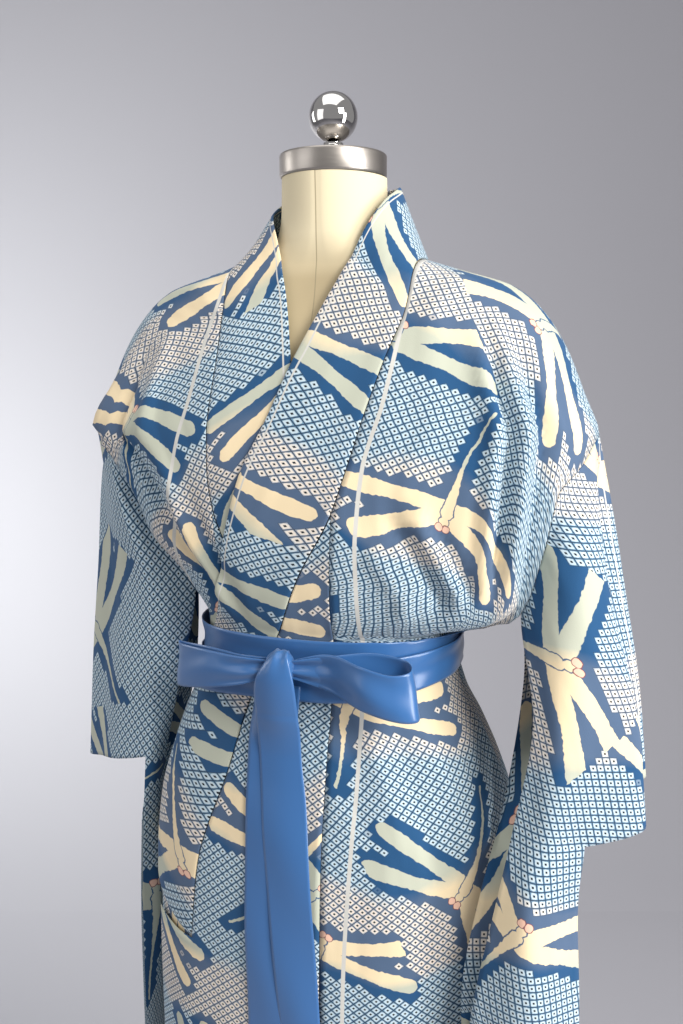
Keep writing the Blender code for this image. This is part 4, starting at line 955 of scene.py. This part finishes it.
def sleeveLines(side):
    # the seam round the armhole, the lines down the bag, and the step from its front's corner to its back's
    table = sleeve[side]
    names = sleeve["lines"]
    heights = table["heights"]
    columns = sleeve["acrossSteps"] * (len(names) - 1)
    crest = crestHeight(crestEndX[side])
    seamRow = []
    for column in range(columns + 1):
        near = 1 - abs(column - columns / 2) / (columns / 2)
        z = blend(heights[0], crest, math.sin(near * math.pi / 2))
        seamRow.append(armholeAt(side, column <= columns / 2, z))
    lines = {name: [seamRow[i * sleeve["acrossSteps"]]] for i, name in enumerate(names)}
    for z in heights[1:]:
        lines["opening"].append(armholeAt(side, True, z))
        lines["back_opening"].append(armholeAt(side, False, z))
    for name in names:
        lines[name] += [Vector((side * x / 1000, y / 1000, z / 1000)) for x, y, z in table[name]]
    away = Vector((side * table["edge"][0], table["edge"][1], 0.0))
    lines["back_corner"] += [point + away for point in lines["corner"][sleeve["joinedLevel"]:]]
    return seamRow, lines, away


def sleeveGrid(side):
    names = sleeve["lines"]
    heights = sleeve[side]["heights"]
    acrossSteps = sleeve["acrossSteps"]
    downSteps = sleeve["downSteps"]
    seamRow, lines, away = sleeveLines(side)
    columns = len(seamRow) - 1
    rows = (len(lines["opening"]) - 1) * downSteps
    corner = names.index("corner")
    backCorner = names.index("back_corner")
    cuffRow = sleeve["cuffLevel"] * downSteps
    joinedRow = sleeve["joinedLevel"] * downSteps
    points = []
    for row in range(rows + 1):
        level = row / downSteps
        line = []
        places = {name: curveThrough(lines[name], level) for name in names
                  if level <= len(lines[name]) - 1}
        for column in range(columns + 1):
            across = column / acrossSteps
            if row == 0:
                line.append(seamRow[column])
                continue
            if level <= len(heights) - 1 and column in (0, columns):
                i = min(int(level), len(heights) - 2)
                z = blend(heights[i], heights[i + 1], level - i)
                line.append(armholeAt(side, column == 0, z))
                continue
            if row <= cuffRow:
                used = names
            elif across <= corner:
                used = names[:corner + 1]
            elif across >= backCorner:
                used = names[backCorner:]
                across -= backCorner
            else:
                line.append(None)
                continue
            section = [places[name] for name in used]
            if row >= joinedRow and used[0] == "back_corner":
                section[0] = places["corner"] + away
            point = curveThrough(section, across)
            if row == rows and used[0] == "back_corner":
                front = curveThrough([places[name] for name in names[corner::-1]], across)
                point = front + (point - front).normalized() * sleeve["bottom"]
            line.append(point)
        points.append(line)
    frontEdge = corner * acrossSteps
    backEdge = backCorner * acrossSteps
    faces = [[(row, frontEdge), (row, backEdge), (row + 1, backEdge), (row + 1, frontEdge)]
             for row in range(joinedRow, rows)]
    faces += [[(rows, column), (rows, column + 1), (rows, columns - column - 1), (rows, columns - column)]
              for column in range(frontEdge)]
    return points, faces, names.index("fold") * acrossSteps, frontEdge, backEdge


def sleeveCoordinates(points, foldColumn, frontEdge, backEdge):
    # forwards from the fold, and down. Under the cuff the front and the back go on by themselves
    uvs = []
    for row in points:
        if row[foldColumn] is not None:
            first, last = foldColumn, foldColumn
            total = {foldColumn: 0.0}
        else:
            first, last = frontEdge, backEdge
            total = {edge: total[edge] for edge in (first, last)}
        for column in range(first - 1, -1, -1):
            total[column] = total[column + 1] + (row[column + 1] - row[column]).length
        for column in range(last + 1, len(row)):
            total[column] = total[column - 1] - (row[column] - row[column - 1]).length
        uvs.append([(total[column], sleeve["topZ"] - point.z) if point is not None else (0.0, 0.0)
                    for column, point in enumerate(row)])
    return uvs


for side, name, pouch in ((1, "sleeve_left", "sleeve_pouch_left"),
                          (-1, "sleeve_right", "sleeve_pouch_right")):
    points, faces, *marks = sleeveGrid(side)
    uvs = sleeveCoordinates(points, *marks)
    table = sleeve[side]
    cloth = printedCotton(name + "_print", table["motifs"], table["band"], table["lines"], table["turn"],
                          warm=table["warm"])
    piece = gridPiece(name + "_cloth", points, uvs, sleeve["wall"], cloth, faces)
    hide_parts(name, pouch)
print("stage: sleeves")

satin = Paint("satin")
satinAt = satin.node("ShaderNodeUVMap", {"uv_map": "cloth"})
satin.set(Base_Color=rgb("3568a2"), Roughness=0.3, Specular_IOR_Level=0.7, Sheen_Weight=0.2,
          Normal=satin.bump(satin.speckle(satinAt, 900.0), 0.04, 0.0002))

sash = {
    "columns": 220, "rows": 14, "wall": 0.0006, "width": 0.05,
    # how far off the robe's own line: in front over the collar, behind over the panels
    "frontLift": robe["frontLift"] + 0.0012 + 0.0011 + 0.00055,
    "backLift": 0.0008 + 0.0008 + 0.00055,
    # how far the lower turn lies over the upper, how high they ripple, how far the upper edge stands off
    "step": 0.002, "ripple": 0.0007, "rim": 0.0014,
    # heights of the upper and the lower edge: left, front, right, back
    "sash_wrap_upper": ((1.147, 1.138, 1.132, 1.138), (1.106, 1.092, 1.082, 1.09)),
    "sash_wrap_lower": ((1.128, 1.117, 1.1, 1.11), (1.092, 1.074, 1.05, 1.066)),
}


def wrapLift(angle):
    turn = math.degrees(angle)
    over = smoothStep(-100, -86, turn) * smoothStep(96, 70, turn)
    return blend(sash["backLift"], sash["frontLift"], over)


def ringHeight(heights, angle):
    left, front, right, back = heights
    side = left if math.sin(angle) >= 0 else right
    end = front if math.cos(angle) >= 0 else back
    return blend(end, side, math.sin(angle) ** 2)


for step, name in enumerate(("sash_wrap_upper", "sash_wrap_lower")):
    top, bottom = sash[name]
    points = []
    for row in range(sash["rows"] + 1):
        share = row / sash["rows"]
        line = []
        for column in range(sash["columns"] + 1):
            angle = math.radians(180 - 360 * (column % sash["columns"]) / sash["columns"])
            z = blend(ringHeight(bottom, angle), ringHeight(top, angle), share)
            ripple = math.sin(share * 9 + 2 * math.sin(angle * 2 + step)) * math.sin(share * math.pi)
            off = sash["ripple"] * ripple + sash["rim"] * smoothStep(0.6, 1.0, share)
            line.append(robePoint(angle, z, wrapLift(angle) + step * sash["step"] + off))
        points.append(line)
    length = lengthsAlong(points[sash["rows"] // 2])
    uvs = [[(along, sash["width"] * row / sash["rows"]) for along in length]
           for row in range(sash["rows"] + 1)]
    piece = gridPiece(name + "_ribbon", points, uvs, sash["wall"], satin.material, closed=True)
    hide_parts(name)
print("stage: sash")

bow = {
    # the knot: place, half sizes, how square it is, how deep its pleats are, how far it stands forward
    "x": -0.012, "z": 1.111, "knot": (0.0135, 0.0115, 0.0175), "square": 0.72, "knotPleat": 0.05,
    "forward": 1.12, "wall": 0.0006,
    "across": 16, "loopRows": 120, "tailRows": 160, "drapeRows": 40,
    # x, how far forward, height and half width along each loop, out and back
    "left": [
        (-0.02, -0.004, 1.111, 0.0085), (-0.05, -0.002, 1.1065, 0.014), (-0.09, -0.013, 1.102, 0.0185),
        (-0.126, -0.031, 1.0955, 0.022), (-0.14, -0.037, 1.094, 0.023), (-0.129, -0.024, 1.095, 0.0225),
        (-0.092, -0.003, 1.101, 0.0195), (-0.05, 0.008, 1.1075, 0.0145), (-0.02, 0.004, 1.1115, 0.0085),
    ],
    "right": [
        (-0.004, -0.004, 1.11, 0.0085), (0.035, -0.003, 1.11, 0.0185), (0.074, 0.018, 1.1045, 0.0215),
        (0.105, 0.0175, 1.0985, 0.022), (0.1225, 0.006, 1.099, 0.0235), (0.114, -0.01, 1.1045, 0.023),
        (0.078, -0.011, 1.108, 0.0225), (0.034, -0.006, 1.1085, 0.017), (-0.004, 0.001, 1.111, 0.0085),
    ],
    # how far each loop's end leans out at its bottom
    "lean": {"left": -0.06, "right": 0.17},
    # height, x of a tail's left and right edge
    "frontTail": [
        (1.09, -0.036, 0.0075), (1.03, -0.035, 0.008), (0.967, -0.031, 0.0155), (0.86, -0.021, 0.0245),
        (0.755, -0.01, 0.0325), (0.6, 0.001, 0.044), (0.47, 0.005, 0.052),
    ],
    "backTail": [
        (1.09, -0.042, 0.004), (1.03, -0.047, 0.0), (0.954, -0.049, -0.001), (0.86, -0.048, 0.001),
        (0.74, -0.045, 0.004), (0.6, -0.045, 0.005), (0.5, -0.047, 0.003),
    ],
    # the front tail's top, over the knot: height, how far forward, middle x, half width
    "drape": [
        (1.1255, -0.005, -0.009, 0.005), (1.13, 0.004, -0.0088, 0.0068), (1.125, 0.0125, -0.0095, 0.01),
        (1.115, 0.0165, -0.0115, 0.015), (1.102, 0.017, -0.0135, 0.0195), (1.085, 0.014, -0.0145, 0.0215),
        (1.065, 0.009, -0.0145, 0.0218),
    ],
    # how deep the loops' pleats and bulge are, and the folds where the front tail leaves the knot
    "pleat": 0.0026, "bulge": 0.0016, "fold": 0.0022,
    # how far the tails hang off the robe, arch and wave, and over which heights they leave the sash
    "hang": 0.0075, "arch": 0.0016, "wave": 0.0012, "leave": (0.985, 1.045),
    # how far the front tail lies over the back one, and how far its edges curl
    "tailStep": 0.0022, "curl": 0.005,
}
seatLift = wrapLift(0.0) + sash["step"] + 0.001
knotMiddle = robePoint(angleAt(bow["x"], bow["z"]), bow["z"], seatLift)
knotMiddle += Vector((0.0, -bow["knot"][1] * bow["forward"], 0.0))
bm = bmesh.new()
bmesh.ops.create_uvsphere(bm, u_segments=64, v_segments=40, radius=1.0)
layer = bm.loops.layers.uv.new("cloth")
for vertex in bm.verts:
    unit = vertex.co.normalized()
    rounded = Vector([math.copysign(abs(part) ** bow["square"], part) for part in unit])
    wave = math.sin(unit.x * 7 + 1.2 * math.sin(unit.z * 2))
    pleat = 1 + bow["knotPleat"] * wave * (1 - abs(unit.z))
    vertex.co = knotMiddle + Vector([part * half * pleat for part, half in zip(rounded, bow["knot"])])
for face in bm.faces:
    for loop in face.loops:
        loop[layer].uv = (loop.vert.co.x, loop.vert.co.z)
knotPiece = finishPiece("bow_knot_ribbon", bm, 0, satin.material)
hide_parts("bow_knot")


def ribbonPiece(name, points):
    length = lengthsAlong([line[bow["across"] // 2] for line in points])
    uvs = [[(along, sash["width"] * i / bow["across"]) for i in range(bow["across"] + 1)] for along in length]
    piece = gridPiece(name + "_ribbon", points, uvs, bow["wall"], satin.material)
    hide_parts(name)
    return piece


def alongTable(path, row, rows):
    # the middle and half width at a row, from a table of both, and where in the table that is
    position = row / rows * (len(path) - 1)
    centre = curveThrough([Vector(place) for place, half in path], position)
    return centre, curveThrough([Vector((half, 0.0, 0.0)) for place, half in path], position).x, position


def loopLine(key, path, row):
    centre, half, position = alongTable(path, row, bow["loopRows"])
    fromKnot = abs(centre.x - bow["x"])
    gathered = smoothStep(0.085, 0.015, fromKnot)
    puffed = smoothStep(0.02, 0.07, fromKnot)
    lean = bow["lean"][key] * smoothStep(0.05, 0.12, fromKnot)
    line = []
    for column in range(bow["across"] + 1):
        share = column / bow["across"]
        pleat = bow["pleat"] * math.sin(share * 3.4 * math.pi + 0.5) * gathered
        bulge = -bow["bulge"] * math.cos(share * 2 * math.pi + fromKnot * 40) * puffed
        drop = blend(half, -half, share)
        line.append(centre + Vector((lean * drop, pleat + bulge, -drop)))
    return line


def drapeLine(path, row):
    # over the knot first, narrow and then spreading
    centre, half, position = alongTable(path, row, bow["drapeRows"])
    gathered = smoothStep(4.5, 0.5, position)
    line = []
    for column in range(bow["across"] + 1):
        share = 2 * column / bow["across"] - 1
        fold = bow["fold"] * math.sin(share * 4.6 + 0.6) * gathered
        curl = bow["curl"] * share * share * (1 - gathered * 0.5)
        line.append(centre + Vector((half * share, fold + curl, 0.0)))
    return line


def tailLine(step, leftX, rightX, z, top):
    line = []
    for column in range(bow["across"] + 1):
        share = 2 * column / bow["across"] - 1
        x = blend(leftX, rightX, column / bow["across"])
        lift = blend(bow["hang"], seatLift + 0.0008, smoothStep(*bow["leave"], z)) + step * bow["tailStep"]
        arch = bow["arch"] * math.cos(share * math.pi / 2) * smoothStep(1.08, 1.0, z)
        wave = bow["wave"] * math.sin(z * 34 + share * 1.5 + step) * smoothStep(1.02, 0.9, z)
        point = robePoint(angleAt(x, z), z, lift + arch + wave)
        if step:
            place, half = drapePath[-1]
            hungY = place[1] + bow["curl"] * share * share
            point.y = blend(point.y, min(hungY, point.y), smoothStep(1.015, top, z))
            point.x = blend(point.x, place[0] + half * share, smoothStep(top - 0.02, top, z))
        line.append(point)
    return line


for name, key in (("bow_loop_left", "left"), ("bow_loop_right", "right")):
    path = [((x, knotMiddle.y - forward, z), half) for x, forward, z, half in bow[key]]
    ribbonPiece(name, [loopLine(key, path, row) for row in range(bow["loopRows"] + 1)])

drapePath = [((middle, knotMiddle.y - forward, z), half) for z, forward, middle, half in bow["drape"]]
for step, (name, key) in enumerate((("bow_tail_back", "backTail"), ("bow_tail_front", "frontTail"))):
    table = bow[key]
    leftAt = smoothColumn(table, 1)
    rightAt = smoothColumn(table, 2)
    top = bow["drape"][-1][0] if step else table[0][0]
    points = [drapeLine(drapePath, row) for row in range(bow["drapeRows"])] if step else []
    for row in range(bow["tailRows"] + 1):
        z = blend(top, table[-1][0], row / bow["tailRows"])
        points.append(tailLine(step, leftAt(z), rightAt(z), z, top))
    ribbonPiece(name, points)
print("stage: bow")

form = {
    "columns": 96, "step": 0.008,
    # the heights between which the outline turns round for the neck, and the princess seam's depth
    "round": (1.505, 1.545), "seam": 0.012, "seamSpread": 1.6,
    "levels": [
        (1.584, 0.053, 0.059, 0.047), (1.55, 0.054, 0.057, 0.05), (1.52, 0.06, 0.056, 0.056),
        (1.5007, 0.095, 0.055, 0.064), (1.4909, 0.129, 0.057, 0.071), (1.4738, 0.18, 0.06, 0.082),
        (1.459, 0.1935, 0.064, 0.088), (1.44, 0.197, 0.072, 0.095), (1.41, 0.194, 0.084, 0.101),
        (1.37, 0.182, 0.1, 0.108), (1.32, 0.166, 0.115, 0.11), (1.27, 0.158, 0.123, 0.105),
        (1.2, 0.136, 0.11, 0.09), (1.12, 0.119, 0.094, 0.079), (1.04, 0.139, 0.103, 0.096),
        (0.96, 0.162, 0.114, 0.115), (0.88, 0.172, 0.117, 0.12), (0.84, 0.17, 0.115, 0.118),
    ],
}
formHalf = smoothColumn(form["levels"], 1)
formFront = smoothColumn(form["levels"], 2)
formBack = smoothColumn(form["levels"], 3)
points = []
uvs = []
for z in spaced(sorted(row[0] for row in form["levels"]), form["step"]):
    line = []
    for column in range(form["columns"] + 1):
        angle = 2 * math.pi * (column % form["columns"]) / form["columns"]
        share = 2 / blend(power, 2.0, smoothStep(*form["round"], z))
        sine = math.sin(angle)
        cosine = math.cos(angle)
        depth = formFront(z) if cosine >= 0 else formBack(z)
        turn = turnBetween(math.degrees(angle), 0.0)
        groove = 1 - form["seam"] * math.exp(-(turn / form["seamSpread"]) ** 2)
        line.append(Vector((math.copysign(formHalf(z) * abs(sine) ** share, sine) * groove,
                            -math.copysign(depth * abs(cosine) ** share, cosine) * groove, z)))
    points.append(line)
    uvs.append([(column / form["columns"], z) for column in range(form["columns"] + 1)])
linen = Paint("linen")
linenAt = linen.node("ShaderNodeTexCoord", output=3)
# painted shade: below the neck, under 1.505 m, the linen is painted darker, standing in for the shade inside
# the collar
linenWithPaintedShade = linen.mixed(linen.part(linenAt, 2).below(1.505, 0.045), rgb("eadcb9"), rgb("c6b48f"))
linenSeam = abs(linen.part(linenAt, 0) + 0.001).below(0.0005, 0.0006)
linen.set(Base_Color=linen.mixed(linenSeam, linenWithPaintedShade, rgb("a99a7c")), Roughness=0.92,
          Normal=linen.bump(linen.speckle(linenAt, 1400.0, flat=False), 0.15, 0.0003))
formPiece = gridPiece("form_linen", points, uvs, 0, linen.material, closed=True)
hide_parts("form_torso")

nickel = Paint("nickel")
nickelAt = nickel.vectors("MULTIPLY", nickel.node("ShaderNodeTexCoord", output=3), (60.0, 60.0, 2500.0))
nickelGrain = nickel.speckle(nickelAt, 1.0, 3.0, flat=False)
nickel.set(Base_Color=rgb("b9b2aa"), Metallic=1.0, Roughness=nickelGrain * 0.25 + 0.24)
chrome = Paint("chrome")
chromeHaze = chrome.speckle(chrome.node("ShaderNodeTexCoord", output=3), 70.0, 3.0, flat=False)
chrome.set(Base_Color=rgb("d9d6d2"), Metallic=1.0, Roughness=chromeHaze * 0.08 + 0.01)
enamel = Paint("enamel")
enamelGrain = enamel.speckle(enamel.node("ShaderNodeTexCoord", output=3), 600.0, flat=False)
enamel.set(Base_Color=rgb("17171a"), Roughness=enamelGrain * 0.25 + 0.28,
           Normal=enamel.bump(enamelGrain, 0.25, 0.0003))

finial = {"centreY": -0.006, "capRadius": 0.054, "capLow": 1.5844, "capHigh": 1.6069,
          "ballZ": 1.6432, "ballRadius": 0.0245}


def turned(name, profile, centreY, material, segments=96):
    # a round piece from its outline, top to bottom
    bm = bmesh.new()
    vertices = [bm.verts.new((radius, 0.0, z)) for radius, z in profile]
    edges = [bm.edges.new(pair) for pair in zip(vertices, vertices[1:])]
    bmesh.ops.spin(bm, geom=vertices + edges, cent=(0, 0, 0), axis=(0, 0, 1), angle=2 * math.pi,
                   steps=segments, use_merge=True)
    bmesh.ops.remove_doubles(bm, verts=bm.verts, dist=0.000001)
    bmesh.ops.translate(bm, verts=bm.verts, vec=(0.0, centreY, 0.0))
    piece = finishPiece(name, bm, 0, material)
    piece.data.set_sharp_from_angle(angle=math.radians(40))
    return piece


low = finial["capLow"]
high = finial["capHigh"]
radius = finial["capRadius"]
capPiece = turned("neck_cap_metal", [
    (0.0, high), (radius - 0.003, high), (radius - 0.0012, high - 0.0004), (radius - 0.0003, high - 0.0012),
    (radius, high - 0.0026), (radius, low + 0.0022), (radius - 0.0004, low + 0.001), (radius - 0.0014, low),
    (0.0, low)], finial["centreY"], nickel.material)
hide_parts("neck_cap")
stubPiece = turned("finial_stub_metal", [
    (0.0, high + 0.0114), (0.01, high + 0.0114), (0.0105, high + 0.008), (0.0125, high + 0.006),
    (0.0125, high + 0.0012), (0.0122, high + 0.0004), (0.0, high + 0.0004)],
    finial["centreY"], chrome.material)
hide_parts("finial_stub")
bm = bmesh.new()
bmesh.ops.create_uvsphere(bm, u_segments=96, v_segments=64, radius=finial["ballRadius"],
                          matrix=Matrix.Translation((0.0, finial["centreY"], finial["ballZ"])))
ballPiece = finishPiece("finial_ball_metal", bm, 0, chrome.material)
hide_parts("finial_ball")
for node in ("stand_pole", "stand_base"):
    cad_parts[node].data.materials.clear()
    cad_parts[node].data.materials.append(enamel.material)
print("stage: form and stand")

studio = {
    # dim and pale: the backdrop's colour away from and at the middle of a painted pool of light
    "dim": rgb("a3a2a8"), "pale": rgb("f4f5fa"),
    # how far behind the form the sweep begins and stands upright, how wide and high it is
    "bend": 1.3, "wall": 3.3, "half": 7.0, "high": 5.5,
    # where the backdrop glows in the photograph's view, across and up from its middle, and how far
    "paintedGlow": (-0.37, -0.05), "reach": (0.26, 0.4),
    "ambient": (0.9, 0.9, 0.93, 1.0), "ambientStrength": 0.36,
    # the camera: turn and height round the form in degrees, what it looks at, how far off, its lens
    "azimuth": 18.0, "elevation": 9.0, "aside": 0.0065, "aimZ": 1.244, "away": 1.05, "lens": 985 / 1024 * 36,
}

azimuth = math.radians(studio["azimuth"])
elevation = math.radians(studio["elevation"])
level = math.cos(elevation)
back = Vector((math.sin(azimuth) * level, -math.cos(azimuth) * level, math.sin(elevation)))
right = Vector((math.cos(azimuth), math.sin(azimuth), 0.0))
up = back.cross(right)
eye = right * studio["aside"] + Vector((0.0, 0.0, studio["aimZ"])) + back * studio["away"]
turnWall = Matrix.Rotation(azimuth, 3, "Z")


def sweep(name, profile, half, turn, material):
    # a wide strip along a line of distance behind the form and height
    bm = bmesh.new()
    bmesh.ops.create_grid(bm, x_segments=8, y_segments=len(profile) - 1, size=0.5)
    for vertex in bm.verts:
        behind, z = profile[round((vertex.co.y + 0.5) * (len(profile) - 1))]
        vertex.co = turn @ Vector((2 * half * vertex.co.x, behind, z))
    return addObject(name, bm, material)


wall = Paint("backdrop")
wallAt = wall.node("ShaderNodeTexCoord", output=3)
fromEye = wall.vectors("SUBTRACT", wallAt, tuple(eye))
across, height, depth = [wall.vectors("DOT_PRODUCT", fromEye, tuple(axis), output=1)
                         for axis in (right, up, -back)]
depth = depth.most(0.4)
across = (across / depth - studio["paintedGlow"][0]) / studio["reach"][0]
height = (height / depth - studio["paintedGlow"][1]) / studio["reach"][1]
# a painted pool of light: the backdrop and the floor are painted pale round one spot and dim away from it
paintedGlow = 1.0 / (across * across + height * height + 1.0)
wall.set(Base_Color=wall.mixed(paintedGlow, studio["dim"], studio["pale"]), Roughness=0.95, Specular_IOR_Level=0.1)
bend = studio["bend"]
radius = studio["wall"] - bend
curve = [(bend + radius * math.sin(math.radians(turn)), radius - radius * math.cos(math.radians(turn)))
         for turn in range(0, 91, 5)]
floor = sweep("floor", [(-5.0, 0.0), (bend, 0.0)], studio["half"], turnWall, wall.material)
curve.append((studio["wall"], studio["high"]))
backdrop = sweep("backdrop", curve, studio["half"], turnWall, wall.material)

# the camera, at the photograph's own angle
cameraData = bpy.data.cameras.new("camera")
cameraData.sensor_fit = "VERTICAL"
cameraData.sensor_height = 36.0
cameraData.lens = studio["lens"]
cameraData.clip_start = 0.02
camera = bpy.data.objects.new("camera", cameraData)
bpy.context.scene.collection.objects.link(camera)
cameraPlace = Matrix((right, up, back)).transposed().to_4x4()
cameraPlace.translation = eye
camera.matrix_world = cameraPlace
bpy.context.scene.camera = camera


def softbox(name, place, aim, size, energy, tint=(1.0, 1.0, 1.0)):
    light = bpy.data.lights.new(name, "AREA")
    light.shape = "RECTANGLE"
    light.size = size[0]
    light.size_y = size[1]
    light.energy = energy
    light.color = tint
    lamp = bpy.data.objects.new(name, light)
    bpy.context.scene.collection.objects.link(lamp)
    direction = Vector(aim) - Vector(place)
    lamp.location = place
    lamp.rotation_euler = direction.to_track_quat("-Z", "Y").to_euler()


softbox("key", (2.2, -1.4, 2.5), (0.0, 0.0, 1.2), (1.1, 1.1), 76.0, (1.0, 0.98, 0.95))
softbox("fill", (-2.2, -2.2, 1.9), (0.0, 0.0, 1.2), (1.8, 2.2), 15.0, (0.98, 0.98, 1.0))
softbox("top", (0.0, -0.4, 3.4), (0.0, 0.0, 1.2), (2.2, 2.2), 20.0)
softbox("side", (2.2, -0.62, 1.25), (0.0, 0.0, 1.12), (0.45, 1.6), 36.0)
softbox("wall", turnWall @ Vector((-3.2, 1.0, 1.8)), turnWall @ Vector((-1.5, 2.9, 0.7)), (1.6, 1.6), 34.0)
bpy.context.scene.view_settings.view_transform = "Standard"
world = bpy.data.worlds.new("studio")
world.use_nodes = True
world.node_tree.nodes["Background"].inputs["Color"].default_value = studio["ambient"]
world.node_tree.nodes["Background"].inputs["Strength"].default_value = studio["ambientStrength"]
bpy.context.scene.world = world
print("stage: studio")
